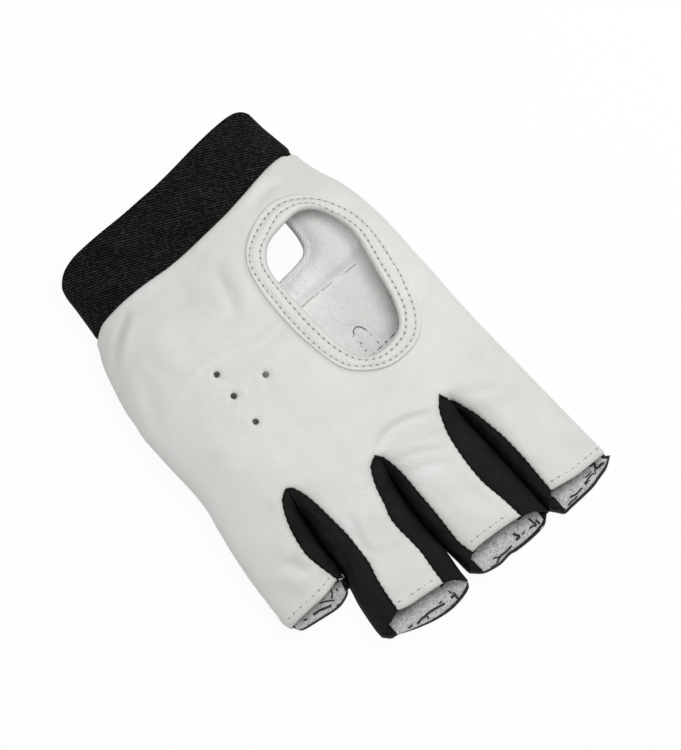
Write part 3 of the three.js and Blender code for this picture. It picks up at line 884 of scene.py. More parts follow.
# The edge turns down, the leather swells beside it, and the seam puckers it
turned = 0.5 * np.clip(1 - rim_apart / 1.1, 0, 1) ** 2
turned -= 0.16 * np.exp(-(((rim_apart - 2.1) / 0.9) ** 2))
pucker = soft_waves(leather_flat[:, 0], leather_flat[:, 1], 8, 4 * MM, 8 * MM, 14)
turned += 0.1 * pucker * np.exp(-rim_apart / 4) * ease(rim_apart / 0.8)
leather_points = leather_points - leather_out * (turned * MM)[:, None]
leather_pieces = split_fingers(
    "leather_skin", leather_flat, leather_points, leather_faces, LEATHER_THICKNESS
)
put_on_bodies(leather_pieces, ["palm_leather"], ["front"])
print("leather:", [(piece.name, len(piece.data.polygons)) for piece in leather_pieces])

# %% [markdown]
# ## The stretch walls
# The black walls between the fingers are sewn under the leather's edge and run down to the
# crease, where the two of a slit meet. They follow the same height function as the leather,
# start a little under it, and end on a slope from the hem's corner to the lip of the back.

# %% Make the stretch walls
LIPS = [
    [(-59.3, 97.5), (-55, 100), (-50, 101), (-45, 101.7), (-35, 101.4), (-31, 101.2),
     (-29.3, 99), (-27.4, 96.3)],
    [(-26, 96.3), (-22, 98.8), (-15, 99), (-8, 98.2), (-5, 97.4), (0, 97.5), (5, 96.3),
     (8, 94.8), (11, 91.6)],
    [(13.5, 93), (16, 95.5), (24, 96.5), (32, 95.2), (40, 92.3), (47, 88.8), (50, 88),
     (52.3, 85.3)],
    [(48.8, 63), (50.5, 64.3), (56, 65.3), (65, 63.5), (72, 61.8), (74, 60), (75, 57.8)],
]
LIP_HEIGHT = 2.6 * MM
lips = [photo_line(points, LIP_HEIGHT) for points in LIPS]
WALL_THICKNESS = 0.7 * MM
# How far a wall is tucked under the leather, and the share of its depth that this takes
WALL_COLUMNS, TUCK, TUCK_SHARE = 20, 1.4 * MM, 0.15


def stretch_wall(name, finger, slit, crease, lip_along, side):
    """One black wall, from under the leather's edge at a slit down to the crease."""
    hem_along = slit[-1, 1]
    root_along = slit[0, 1] - 0.6 * MM
    rows = round((max(hem_along, lip_along) - root_along) / (1 * MM))
    points = []
    for row in range(rows + 1):
        for column in range(WALL_COLUMNS + 1):
            q = column / WALL_COLUMNS
            end = hem_along + (lip_along - hem_along) * ease(q) + 0.4 * MM * (q < 0.12)
            along = root_along + (end - root_along) * row / rows
            edge, foot = across_at(slit, along), across_at(crease, along) + side * 0.03 * MM
            tuck = min(TUCK, 0.5 * abs(edge - foot) + 0.3 * MM)
            if q < TUCK_SHARE:
                points.append((edge + side * tuck * (1 - q / TUCK_SHARE), along, q))
            else:
                share = (q - TUCK_SHARE) / (1 - TUCK_SHARE)
                points.append((edge + (foot - edge) * (1 - (1 - share) ** 1.7), along, q))
    x, along, q = np.array(points).T
    _, z, _ = finger_top(finger, to_reach(x, along), along)
    # All in mm: how far it lies under the leather, its sag at the root, and its folds
    under = 1.25 * ease((0.24 - q) / 0.14) + 0.45 * ease((0.42 - q) / 0.2)
    belly = np.sin(math.pi * np.clip((q - TUCK_SHARE) / (1 - TUCK_SHARE), 0, 1))
    calm = ease((along - root_along) / (6 * MM))
    sag = 1.7 * (1 - ease((along - root_along) / (9 * MM))) * ease((q - 0.14) / 0.3)
    chance = finger + (side > 0) * 7
    folds = 0.45 * soft_waves(x * 2.2, along * 0.6, 20 + chance, 3.5 * MM, 8 * MM)
    folds += 0.22 * soft_waves(x, along, 30 + chance, 2.5 * MM, 5 * MM)
    z = z + ease((z - 0.009) / 0.006) * relief(x, along) * (1 - 0.4 * calm)
    z = z + MM * (folds * belly * (0.35 + 0.65 * calm) - under - sag)
    z = np.maximum(z, SEAM_HEIGHT)
    z[q == 1] = SEAM_HEIGHT - 0.6 * MM
    place = np.column_stack([x, along, z])
    width = WALL_COLUMNS + 1
    faces = faces_between(rows + 1, width, strip=True)
    if side > 0:
        faces = [face[::-1] for face in faces]
    piece = new_piece(name, place, faces)
    thicken(piece, WALL_THICKNESS)
    grid = place.reshape(rows + 1, width, 3)
    paces = np.linalg.norm(np.diff(grid, axis=1), axis=2).mean(0)
    down = np.concatenate([[0], np.cumsum(paces)])
    flat = np.column_stack([np.tile(down, rows + 1), along])
    triangles = np.array([(f[0], f[k], f[k + 1]) for f in faces for k in (1, 2)])
    declare_cut(piece, flat, triangles)
    return piece


walls = []
for slot in range(3):
    left_finger, right_finger = FINGERS[slot], FINGERS[slot + 1]
    left_lip, right_lip = lips[slot][-1, 1], lips[slot + 1][0, 1]
    sides = [
        (f"{left_finger}_right", slot, slit_left[slot], crease_left[slot], left_lip, -1),
        (f"{right_finger}_left", slot + 1, slit_right[slot], crease_right[slot], right_lip, 1),
    ]
    for name, finger, slit, crease, lip_along, side in sides:
        piece = stretch_wall(f"{name}_wall", finger, slit, crease, lip_along, side)
        bend_with_finger(piece, finger)
        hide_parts(f"{name}_fourchette")
        walls.append(piece)
    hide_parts(f"{left_finger}_{right_finger}_crotch")
print("stretch walls:", len(walls))

# %% [markdown]
# ## The elastic cuff
# The cuff is a loop of woven elastic, sewn in under the leather's lower edge. Its own lower
# edge runs round the two folds at the sides, which is what rounds its corners. The loop is
# laid round the same sections, up to about one leather's thickness inside them.

# %% Make the cuff
CUFF_EDGE = [
    (-54, -88), (-54, -90), (-53.7, -94), (-51, -97.2), (-45, -98.6), (-30, -98.9), (-10, -98.6),
    (0, -99.2), (10, -100), (20, -101), (30, -101.8), (35, -101.6), (40, -100.3), (44, -97.5),
    (45.4, -95), (46, -92), (46.6, -88),
]
CUFF_HIDDEN = 3 * MM
CUFF_THICKNESS = 1.3 * MM
# On the back the band reaches this far, under the shell's edge
CUFF_BACK_END = -61 * MM
# Past this line the band keeps its width, and at the thumb's side it stands out a little
CUFF_EVEN, CUFF_SWELL = -81.5 * MM, 1.1 * MM
# The camera leans, so a higher place shows shifted on the plan, by this share of its height
CUFF_EDGE_HEIGHT, CUFF_LEAN = 13 * MM, math.tan(VIEW_TILT) / math.sqrt(2)
CUFF_TURNS, CUFF_ROWS = 300, 24
cuff_edge = photo_line(CUFF_EDGE, CUFF_EDGE_HEIGHT, 0.6 * MM)


def cuff_ring(turn, along, depth, swell=CUFF_SWELL):
    """A place on the loop: turn runs from 0 to 1 round it, from the right fold over the top."""
    left, right, top, power = section_at(max(along, CUFF_EVEN))
    left, right = left + depth - swell, right - depth
    half, middle = (right - left) / 2, (left + right) / 2
    tall, centre = (top + SINK) / 2 - depth, (top - SINK) / 2
    angle = 2 * math.pi * turn
    bend = 2 / power
    x, z = (
        start + reach * np.sign(part) * np.abs(part) ** bend
        for start, reach, part in ((middle, half, np.cos(angle)), (centre, tall, np.sin(angle)))
    )
    return x, np.maximum(z, CUFF_THICKNESS + 0.15 * MM)


# The steps round the loop are a little wider at its two folds
turns = np.arange(CUFF_TURNS) / CUFF_TURNS
turns = turns + 0.02 * np.sin(4 * math.pi * turns)
wrist_edge = leather_line(WRIST_EDGE, 4 * MM)
cuff_points = []
for share in np.arange(CUFF_ROWS + 1) / CUFF_ROWS:
    for i, turn in enumerate(turns):
        x, z = cuff_ring(min(turn, 1 - turn), CUFF_EVEN, 0.4 * MM)
        shift = (z - CUFF_EDGE_HEIGHT) * CUFF_LEAN
        low = np.interp(x - shift, cuff_edge[:, 0], cuff_edge[:, 1]) + shift
        low += (i % 2) * 0.05 * MM
        high = np.interp(x, wrist_edge[:, 0], wrist_edge[:, 1]) + CUFF_HIDDEN
        high += max(CUFF_BACK_END - high, 0) * ease(-3 * math.sin(2 * math.pi * turn))
        along = low + (high - low) * share
        inset = 0.25 + 1.0 * ease((share - 0.76) / 0.13)
        swell = CUFF_SWELL * (1 - 0.4 * ease((share - 0.8) / 0.1))
        x, z = cuff_ring(turn, along, inset * MM, swell)
        cuff_points.append((x, along, z))
cuff_points = np.array(cuff_points)
# Its own waves give way to the leather's where it is sewn in
x, along, z = cuff_points.T
sewn = np.repeat(ease((np.arange(CUFF_ROWS + 1) / CUFF_ROWS - 0.4) / 0.4), CUFF_TURNS)
wave = 0.3 * MM * soft_waves(x, along, 41, 18 * MM, 40 * MM)
wave += (relief(x, along) - wave) * sewn
cuff_points[:, 2] += wave * ease((z - 0.008) / 0.008)
cuff_faces = turned_over(faces_between(CUFF_ROWS + 1, CUFF_TURNS))
cuff = new_piece("cuff_loop", cuff_points, cuff_faces)
thicken(cuff, CUFF_THICKNESS)
finish_with(
    cuff, "BEVEL", width=0.4 * MM, segments=2, limit_method="ANGLE",
    angle_limit=math.radians(50),
)
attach(cuff, "hand")
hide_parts("cuff_elastic")
rows = cuff_points.reshape(CUFF_ROWS + 1, CUFF_TURNS, 3)
cuff_length = line_length(rows[CUFF_ROWS // 2], closed=True)
cuff_width = np.linalg.norm(np.diff(rows, axis=0), axis=2).sum(0).mean()
print("cuff: a loop of %.0f mm from a band %.1f mm wide" % (cuff_length / MM, cuff_width / MM))

# %% [markdown]
# ## The facing of the thumb hole
# A ring of the same leather is sewn round the hole with two rows of stitches, and its inner
# edge is turned over the cut. It is swept as one closed profile: rounded at both edges, with
# a shallow groove under each row, because thread pulls leather down.

# %% Sweep the facing
FACING_ROWS = [
    [(-12.8, -20), (-13.1, -10), (-14.2, -3.8), (-16, 1.5), (-18.2, 4.6), (-21, 6.9),
     (-24.5, 8.7),
     (-29, 9.3), (-33.5, 9), (-37, 8), (-40, 5.6), (-42.4, 3), (-44.3, -0.3), (-46.2, -5.7),
     (-48, -12), (-49.5, -18), (-51.2, -24), (-52.8, -30), (-53, -34), (-52.3, -39),
     (-50.7, -44.5), (-49, -49.3), (-46.2, -54), (-42.5, -56.8), (-38.2, -58.3), (-34.5, -58.8),
     (-30, -57.5), (-25, -55.8), (-20.5, -54), (-17.6, -51), (-15.6, -47), (-14.6, -42),
     (-14, -36), (-13.3, -29)],
    [(-8.8, -20), (-9, -11), (-10.3, -3.6), (-12.2, 1.5), (-15.4, 5.5), (-19.3, 8.8), (-24, 11.4),
     (-30, 12.6), (-36.5, 12), (-41.3, 9.6), (-44.7, 6), (-47.3, 1.6), (-49.5, -3.8),
     (-51.7, -9.5), (-53.4, -15.7), (-54.8, -21.7), (-55.9, -27.8), (-56.2, -33.8),
     (-55.5, -39.8), (-53.6, -45.4), (-51, -50.7), (-47.6, -55.1), (-43.5, -58.6), (-39.5, -60.9),
     (-34.5, -61.7), (-30, -61.4), (-24.2, -59.9), (-20, -58.2), (-16.5, -56), (-13.6, -53),
     (-11.9, -49), (-10.9, -43.6), (-10, -36), (-9.1, -28)],
]
FACING_OUTER = [
    (-7.1, -20), (-7.7, -12), (-8.7, -4), (-10, 0.6), (-12.2, 4.4), (-15.6, 8), (-20, 11.3),
    (-25, 13.6), (-31, 14.5), (-37, 14.1), (-42, 12), (-46, 8.3), (-49, 3), (-51.4, -3),
    (-53.6, -10), (-55.3, -17), (-56.6, -24), (-57.5, -31), (-57.4, -37), (-56.3, -43),
    (-54.2, -48.5), (-51, -53.6), (-46.8, -58.6), (-42, -62.3), (-36.5, -64.2), (-31, -64.2),
    (-25.5, -62.9), (-20.5, -60.7), (-16, -57.5), (-12.8, -53.8), (-10.8, -49.6), (-9.4, -45),
    (-8.1, -38), (-7.3, -29),
]
FACING_HEIGHT = 25.5 * MM
FACING_STATIONS = 360
# The first places of the profile run over its top, and the rest under it
FACING_TOP = 21
# Each place of the profile: 0 is the hole's edge, 1 and 2 are the rows, 3 is the outer edge.
# Below 0 it is in mm past the hole's edge. The second number is its lift in mm.
FACING_PROFILE = [
    (-0.3, -2.0), (-0.8, -1.8), (-1.0, -1.2), (-0.9, -0.5), (-0.6, 0.1), (-0.25, 0.5),
    (0.1, 0.75), (0.5, 0.9), (0.8, 0.82), (1.0, 0.66),
    (1.12, 0.8), (1.3, 1.08), (1.5, 1.17), (1.7, 1.08),
    (1.88, 0.8), (2.0, 0.66), (2.12, 0.82), (2.4, 1.08), (2.7, 1.14), (2.88, 1.0), (2.98, 0.7),
    (3.0, 0.2), (2.97, -0.3), (2, -0.3), (1, -0.3),
]


def round_centre(line, turns):
    """Where a closed line crosses these directions from the hole's middle."""
    apart = line - hole_middle
    angle = np.arctan2(apart[:, 1], apart[:, 0])
    reach = np.interp(turns, angle, np.linalg.norm(apart, axis=1), period=2 * math.pi)
    return hole_middle + np.column_stack([np.cos(turns), np.sin(turns)]) * reach[:, None]


def even_turns(line, count):
    """Directions from the hole's middle to even places along a closed line."""
    ends = closed_up(line)
    travel = travelled(ends)
    places = np.linspace(0, travel[-1], count, endpoint=False)
    x, y = (at_travel(places, travel, ends) - hole_middle).T
    return np.arctan2(y, x)


facing_lines = [hole_edge]
facing_lines += [photo_line(p, FACING_HEIGHT, closed=True) for p in (*FACING_ROWS, FACING_OUTER)]
facing_turns = even_turns(facing_lines[1], FACING_STATIONS)
facing_rings = np.array([round_centre(line, facing_turns) for line in facing_lines])
ring_length = line_length(facing_rings[1])
stitches_round = round(ring_length / STITCH_PITCH)
station_waves = np.arange(FACING_STATIONS) / FACING_STATIONS * 2 * math.pi * stitches_round
inward = unit(hole_middle - facing_rings[0])
facing_points = []
for spot, lift in FACING_PROFILE:
    low = int(np.clip(spot, 0, 2))
    plan = facing_rings[low] + (facing_rings[low + 1] - facing_rings[low]) * max(spot - low, 0)
    if spot < 0:
        plan = plan - inward * spot * MM
    sway = 0.05 * np.sin(station_waves) * (lift > 0.5)
    level = over_plan(plan[:, 0], plan[:, 1])
    level[:, 2] += (lift + sway) * MM
    facing_points.append(level)
facing_points = np.array(facing_points)
facing_faces = faces_between(len(FACING_PROFILE), FACING_STATIONS, loop=True)
facing = new_piece("thumb_hole_facing_ring", facing_points.reshape(-1, 3), facing_faces)
face_outward(facing)
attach(facing, "hand")
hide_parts("thumb_hole_facing")
strip_width = np.linalg.norm(np.diff(facing_points[:FACING_TOP], axis=0), axis=2).sum(0).mean()
declare_sheet(facing, np.ptp(facing_rings[-1], axis=0), strip_width * ring_length)
print("facing: %.0f mm round, from a strip %.1f mm wide" % (ring_length / MM, strip_width / MM))

# %% [markdown]
# ## Thread
# A lockstitch shows as a row of short plump threads, with a needle hole where one ends and
# the next begins. Each hole is a small blob in dark grey, which paints the shade inside it.
# One thread and one hole blob are modelled, then copied along each row. They are only a few
# dozen faces each, because there are hundreds of them.

# %% Model one stitch and one blob of painted needle-hole shade
def small_form(segments, rings, size):
    """A sphere pressed to a size, to be copied many times."""
    bpy.ops.object.select_all(action="DESELECT")
    bpy.ops.mesh.primitive_uv_sphere_add(segments=segments, ring_count=rings, radius=0.5)
    form = bpy.context.object
    bpy.ops.object.mode_set(mode="EDIT")
    bpy.ops.mesh.select_all(action="SELECT")
    bpy.ops.transform.rotate(value=math.pi / 2, orient_axis="Y", center_override=(0, 0, 0))
    bpy.ops.transform.resize(value=size, center_override=(0, 0, 0))
    bpy.ops.object.mode_set(mode="OBJECT")
    points = np.array([v.co for v in form.data.vertices])
    faces = [tuple(p.vertices) for p in form.data.polygons]
    bpy.data.objects.remove(form)
    return points, faces


thread_form = small_form(8, 7, (1.75 * MM, 0.5 * MM, 0.44 * MM))
# The needle holes are dark blobs, whose grey paints the shade inside each hole
hole_shade_form = small_form(8, 5, (1.15 * MM, 1.05 * MM, 0.4 * MM))
hem_hole_shade_form = small_form(8, 5, (1.25 * MM, 0.95 * MM, 0.4 * MM))


def copies_along(name, form, places, ways, ups):
    """One mesh made of copies of a small form, each at its place and along its way."""
    points, faces = form
    all_points, all_faces = [], []
    for place, way, up in zip(places, ways, ups):
        way = way / np.linalg.norm(way)
        side = np.cross(up, way)
        side /= np.linalg.norm(side)
        top = np.cross(way, side)
        start = len(all_points) * len(points)
        all_points.append(place + points @ np.array([way, side, top]))
        all_faces += [tuple(v + start for v in face) for face in faces]
    return new_piece(name, np.vstack(all_points), all_faces)


def leather_up(x, y):
    """The direction straight out of the leather above places seen from above."""
    step = 0.6 * MM
    along_x = over_plan(x + step, y) - over_plan(x - step, y)
    along_y = over_plan(x, y + step) - over_plan(x, y - step)
    return unit(np.cross(along_x, along_y))


def sew_row(name, plan, lift, pitch, body, closed=False, jitter=0.06, dent=hole_shade_form):
    """A row of thread, and dark blobs that paint the shade of its needle holes, along a line on the
    leather.
    """
    ends = closed_up(plan) if closed else plan
    travel = travelled(ends)
    whole = travel[-1]
    count = max(2, round(whole / pitch))
    holes = count if closed else count + 1
    chance = np.random.default_rng(len(name) * 7 + count)
    spots = (np.arange(holes) + chance.uniform(-jitter, jitter, holes)) / count * whole
    between = spots[:count] + whole / count / 2

    def at(places):
        places = places % whole if closed else np.clip(places, 0, whole)
        return at_travel(places, travel, ends)

    made = []
    # The "holes" pieces are dark blobs that paint the shade inside the needle holes
    plans = (("threads", thread_form, between, 0.02), ("holes", dent, spots, 0.04))
    for label, form, where, sink in plans:
        if not closed:
            where = np.clip(where, 0.3 * MM, whole - 0.3 * MM)
        spot = at(where)
        way = at(where + 0.3 * MM) - at(where - 0.3 * MM)
        place = over_plan(spot[:, 0], spot[:, 1])
        up = leather_up(spot[:, 0], spot[:, 1])
        place = place + up * (lift - sink * MM)
        way = np.column_stack([way, np.zeros(len(way))])
        piece = copies_along(f"{name}_{label}", form, place, way, up)
        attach(piece, body)
        made.append(piece)
    return made


# %% Sew the facing and the hems
# How high the facing's thread lies on the leather, and how far apart the hems' stitches are
FACING_LIFT, HEM_DEPTH, HEM_PITCH = 0.72 * MM, 2.8 * MM, 2.85 * MM
thread_pieces, hole_shade_pieces, hem_hole_shades = [], [], []
for number in range(2):
    name, ring = f"facing_row_{number + 1}", facing_rings[number + 1]
    threads, holes = sew_row(name, ring, FACING_LIFT, STITCH_PITCH, "hand", closed=True)
    thread_pieces.append(threads)
    hole_shade_pieces.append(holes)
for number, (finger, hem) in enumerate(zip(FINGERS, hems)):
    inner = hem.copy()
    inner[:, 1] -= HEM_DEPTH
    low = inner[0, 0] + (0.5 if number == 0 else 2) * MM
    high = inner[-1, 0] - (0.8 if number == 3 else 2) * MM
    inner = inner[(inner[:, 0] > low) & (inner[:, 0] < high)]
    threads, holes = sew_row(
        f"{finger}_hem", inner, 0, HEM_PITCH, f"{finger}_finger", jitter=0.12, dent=hem_hole_shade_form
    )
    thread_pieces.append(threads)
    hem_hole_shades.append(holes)
print("rows of stitches:", len(thread_pieces))

# %% [markdown]
# ## The terry lining
# Through the thumb hole and the finger mouths one sees the lining of the padded back: soft
# white terry, with a seam across the hand and stitched lines that make the padding bend. It
# is one sheet as well, pressed down along its seams and swelling between them.

# %% Cut and lay the lining
# Half of the wrist window's edge on the grid, from its lower left end to the middle of its top
WINDOW_HALF = [
    (-34.7, -66), (-34.7, -56), (-34.5, -52), (-34, -48), (-33.2, -45), (-32.2, -42.4),
    (-30.4, -40.7), (-27, -40), (-20, -39.8), (-10, -39.8),
]
WINDOW_MIDDLE, WINDOW_TOP = -9.8, -39.8
# Where the back ends at the wrist
BACK_END = -0.0634
# The last place of an outline that started at the back's end, just short of its first
BACK_CLOSE = -0.0625
LINING_LEVEL = 6.3 * MM
LINING_STEP = 1.5 * MM
# Seams of the lining: a line on the grid, how deep the lining sinks there in mm, and its width
LINING_SEAMS = [
    ([(-62, -22), (-47, -23.5), (-28, -25.7), (-15, -27), (20, -27), (64, -24)], 1.6, 1.5),
    ([(-60, 5.5), (-39, 5.5), (-21, 5.5), (20, 5.5), (66, 5)], 0.7, 1.6),
    ([(-27.2, 32), (-27, 6), (-27, -4), (-25.8, -6.3), (-24.2, -6.6), (-22.6, -6),
      (-21.6, -3), (-21.5, 6), (-25, 33)], 0.8, 1.4),
    ([(3, 32), (3, 0), (5, -6), (8, -6), (10, 0), (10, 32)], 0.8, 1.4),
    ([(36, 20), (34, -2), (36, -7), (39, -7), (41, -2), (42, 20)], 0.8, 1.4),
]


def window_line(grow):
    """The edge of the wrist window, from its lower left end round the top to its lower right."""
    half = photo_line(WINDOW_HALF, LINING_LEVEL, 1 * MM)
    middle = float(seen(WINDOW_MIDDLE, WINDOW_TOP, LINING_LEVEL)[0])
    half = half[(half[:, 0] < middle - 0.4 * MM) & (half[:, 1] > BACK_END)]
    half = np.vstack([[(half[0, 0], BACK_END)], half])
    line = np.vstack([half, np.column_stack([2 * middle - half[::-1, 0], half[::-1, 1]])])
    return line + left_of(line) * grow


# How far the black walls cover the lining at each mouth's left and right corner, in mm
CORNER_COVER = [(-1.2, 3.3), (1.6, 2.5), (-0.8, 3.3), (0, 0)]
# How far the lining ends short of the left and right end of each mouth's edge, in mm
MOUTH_RIM = [(1.1, 0.9), (1.4, 0.6), (1.3, 0.2), (0.7, 0.7)]
LINING_INSET = 1.5 * MM
# Its inset at the side seams, and how far past the slits' roots its own slits start
LINING_SIDE_INSET, LINING_SLIT_START = 2.2 * MM, 1.5 * MM


def finger_side(number, along, side):
    """The place across of a finger's left (-1) or right (1) side."""
    if side < 0:
        return section_at(along)[0] if number == 0 else across_at(crease_right[number - 1], along)
    return section_at(along)[1] if number == 3 else across_at(crease_left[number], along)


def lining_lip(number):
    """The lining's edge at one mouth, from left to right, cut off where the walls cover it."""
    lip = lips[number].copy()
    run = (lip[:, 0] - lip[0, 0]) / (lip[-1, 0] - lip[0, 0])
    left_rim, right_rim = MOUTH_RIM[number]
    lip[:, 1] -= (left_rim * (1 - run) + right_rim * run) * MM
    low = finger_side(number, lip[0, 1], -1) + LINING_INSET + CORNER_COVER[number][0] * MM
    high = finger_side(number, lip[-1, 1], 1) - LINING_INSET - CORNER_COVER[number][1] * MM
    kept = lip[(lip[:, 0] > low) & (lip[:, 0] < high)]
    low_end, high_end = [(x, np.interp(x, lip[:, 0], lip[:, 1])) for x in (low, high)]
    return np.vstack([[low_end], kept, [high_end]])


def slit_side(number, along, end, side):
    """The lining's edge along a slit, at a finger's left (-1) or right (1) side."""
    extra = CORNER_COVER[number][0 if side < 0 else 1] * MM
    cover = LINING_INSET + extra * ease((along - end + 11 * MM) / (5 * MM))
    return np.column_stack([finger_side(number, along, side) - side * cover, along])


def finger_ends():
    """The lining's outline past the palm, round the fingers from right to left."""
    edges = [lining_lip(number) for number in range(4)]
    parts = [edges[3][::-1]]
    for number in (3, 2, 1):
        root = roots[number - 1, 1] + LINING_SLIT_START
        end = edges[number][0, 1]
        parts.append(slit_side(number, np.arange(end - 1 * MM, root, -1 * MM), end, -1))
        end = edges[number - 1][-1, 1]
        parts.append(slit_side(number - 1, np.arange(root, end - 1 * MM, 1 * MM), end, 1))
        parts.append(edges[number - 1][::-1])
    return parts


def hand_side(low, high, side):
    """The lining's edge at the left (0) or right (1) side of the hand."""
    inset = (1 - 2 * side) * LINING_SIDE_INSET
    return line_along(low, high, lambda along: section_at(along)[side] + inset)


lining_ends = finger_ends()
lining_outline = joined([
    hand_side(BACK_END, BACK_END, 0)[:1],
    window_line(0.6 * MM),
    hand_side(BACK_END, lining_ends[0][0, 1] - 1 * MM, 1),
    *lining_ends,
    hand_side(lining_ends[-1][-1, 1] - 1 * MM, BACK_CLOSE, 0),
], 1 * MM)
lining_flat, lining_faces = cut_sheet(lining_outline, [], LINING_STEP, (0.6, 1.4, 2.4))
lining_seam_lines = [
    (photo_line(points, LINING_LEVEL, 1 * MM), depth, width)
    for points, depth, width in LINING_SEAMS
]


def lining_level(points):
    """The height of the lining's upper face."""
    x, y = points[:, 0], points[:, 1]
    edge, _ = distance_to(points, lining_outline)
    left, right = section_at(y)[:2]
    beside = np.minimum(x - left, right - x)
    finger = finger_of(x, y)
    share = finger_share(x, y)
    for number in range(4):
        pick = (finger == number) & (share > 0.5)
        for side in (-1, 1):
            apart = side * (finger_side(number, y[pick], side) - x[pick])
            beside[pick] = np.minimum(beside[pick], apart)
    # The lining climbs beside the walls, and more so past the thumb hole
    level = LINING_LEVEL + 3.2 * MM * np.clip(1 - (beside - 2 * MM) / (3.5 * MM), 0, 1) ** 2
    thumb_side = ease((16.5 * MM - x + left) / (10 * MM))
    level += 5 * MM * thumb_side * ease((0.028 - y) / 0.012) * ease((y + 0.056) / 0.012)
    lip_apart = np.full(len(points), 1.0)
    for number in range(4):
        pick = finger == number
        line = lips[number].copy()
        line[:, 1] -= 0.9 * MM
        lip_apart[pick] = distance_to(points[pick], line, closed=False)[0]
    near_lip = np.clip(lip_apart / (4 * MM), 0, 1)
    level = level * near_lip**0.5 + (4.6 * MM) * (1 - near_lip**0.5)
    puff = np.ones(len(points))
    sink = np.zeros(len(points))
    for line, depth, width in lining_seam_lines:
        apart, _ = distance_to(points, line, closed=False)
        sink = np.maximum(sink, depth * np.exp(-((apart / (width * MM)) ** 2)))
        puff = np.minimum(puff, ease(apart / (7 * MM)))
    wrist_part = ease((-0.0245 - y) / 0.004) * ease((edge - 0.3 * MM) / (6 * MM))
    swell = 0.5 * puff + 2.1 * wrist_part + 0.35 * soft_waves(x, y, 51, 9 * MM, 22 * MM)
    swell += 0.16 * soft_waves(x, y, 52, 3 * MM, 6 * MM, 16)
    return level + (swell * ease(edge / (3 * MM)) - sink) * MM


lining_points = np.column_stack([lining_flat, lining_level(lining_flat)])
linings = split_fingers("lining_sheet", lining_flat, lining_points, lining_faces, 0.8 * MM)
put_on_bodies(linings, ["back_lining", "wrist_lining"], ["lining"])
print("lining:", [(piece.name, len(piece.data.polygons)) for piece in linings])

# %% [markdown]
# ## The padded back
# The back of a hockey glove takes knocks, so it is a black shell over foam, quilted by the
# same seams as the lining. Each pad is a closed pillow, flat above and round at its rim. A
# short cloth simulation blows it up while its rim and seams are held, which gives the soft
# swelling between seams. It lies on the table, so nothing may pass below that.

# %% Make the pads
PAD_TOP = 5.2 * MM
PAD_STEP = 1.8 * MM
# The most that a point may move when the pillow swells, and its highest place
PAD_SWELL, PAD_CAP = 0.9 * MM, 5.45 * MM


def quarter(share):
    """A quarter round: steep at 0 and level at 1."""
    return np.sqrt(1 - (1 - np.clip(share, 0, 1)) ** 2)


def make_pad(name, outline, lip_lines, channels):
    """A closed quilted pillow. Its rim is at the seam's height, and lower along its lips."""
    flat, faces = cut_sheet(outline, [], PAD_STEP, (0.5, 1.2, 2.2, 3.6))
    edge, _ = distance_to(flat, outline)
    rim = edge < 0.02 * MM
    rim_level = np.full(len(flat), 4.9 * MM)
    for line in lip_lines:
        apart, _ = distance_to(flat, line, closed=False)
        rim_level = np.minimum(rim_level, 2.7 * MM + 2.2 * MM * ease((apart - 3 * MM) / (5 * MM)))
    top = rim_level + (PAD_TOP - rim_level) * quarter(edge / (3 * MM))
    sink = np.zeros(len(flat))
    for line in channels:
        apart, _ = distance_to(flat, line, closed=False)
        sink = np.maximum(sink, np.exp(-((apart / (1.5 * MM)) ** 2)))
    top = top - 1.5 * MM * sink * ease(edge / (3 * MM))
    under = rim_level * (1 - quarter(edge / (6 * MM))) + 0.5 * MM + 1.2 * MM * sink
    under = np.minimum(under, top - 0.3 * MM)
    # Both faces share the rim's points, and the lower face has its own inside the rim
    extra = np.flatnonzero(~rim)
    lower = np.arange(len(flat))
    lower[extra] = len(flat) + np.arange(len(extra))
    under_faces = [tuple(lower[face[::-1]]) for face in faces]
    points = np.vstack([np.column_stack([flat, top]), np.column_stack([flat, under])[extra]])
    piece = new_piece(name, points, [*map(tuple, faces), *under_faces])
    held = piece.vertex_groups.new(name="held")
    in_seam = np.flatnonzero(sink > 0.75)
    pinned = np.unique(np.concatenate([np.flatnonzero(rim), in_seam, lower[in_seam]]))
    held.add(pinned.tolist(), 1.0, "REPLACE")
    return piece


CLOTH = {
    "quality": 4, "mass": 0.2, "tension_stiffness": 8, "compression_stiffness": 8,
    "bending_stiffness": 0.3, "use_pressure": True, "uniform_pressure_force": 4,
    "vertex_group_mass": "held",
}


def blow_up(piece, cap):
    """Lets the pillow swell for 20 frames, and keeps each point within a cap of where it was."""
    before = np.array([v.co for v in piece.data.vertices])
    cloth = piece.modifiers.new("Swell", "CLOTH")
    for setting, value in CLOTH.items():
        setattr(cloth.settings, setting, value)
    cloth.settings.effector_weights.gravity = 0
    scene = bpy.context.scene
    for number in range(1, 21):
        scene.frame_set(number)
    choose(piece)
    bpy.ops.object.modifier_apply(modifier="Swell")
    scene.frame_set(1)
    after = np.array([v.co for v in piece.data.vertices])
    move = after - before
    length = np.linalg.norm(move, axis=1)[:, None]
    after = before + move * np.minimum(1, cap / np.maximum(length, 1e-9))
    after[:, 2] = np.clip(after[:, 2], 0, PAD_CAP)
    piece.data.vertices.foreach_set("co", after.ravel())
    piece.data.update()
    return np.linalg.norm(after - before, axis=1).max()


def start_at(number, across):
    """How far along the hand a finger's start line is, at a place across."""
    way, start = finger_way[number], bend_start[number]
    return start.y + (across - start.x) * -way.x / way.y


SEAM_INSET = 0.5 * MM
# Where the side seams meet the start lines of the index and the little finger
INDEX_SEAM_START, LITTLE_SEAM_START = 0.035, 0.018
seam_left = np.column_stack([CURVE_X[:, 0], ALONG_STEPS])
seam_right = np.column_stack([CURVE_X[:, -1], ALONG_STEPS])


def seam_side(low, high, line, inset):
    """A line beside a side seam of the back."""
    return line_along(low, high, lambda along: across_at(line, along) + inset)


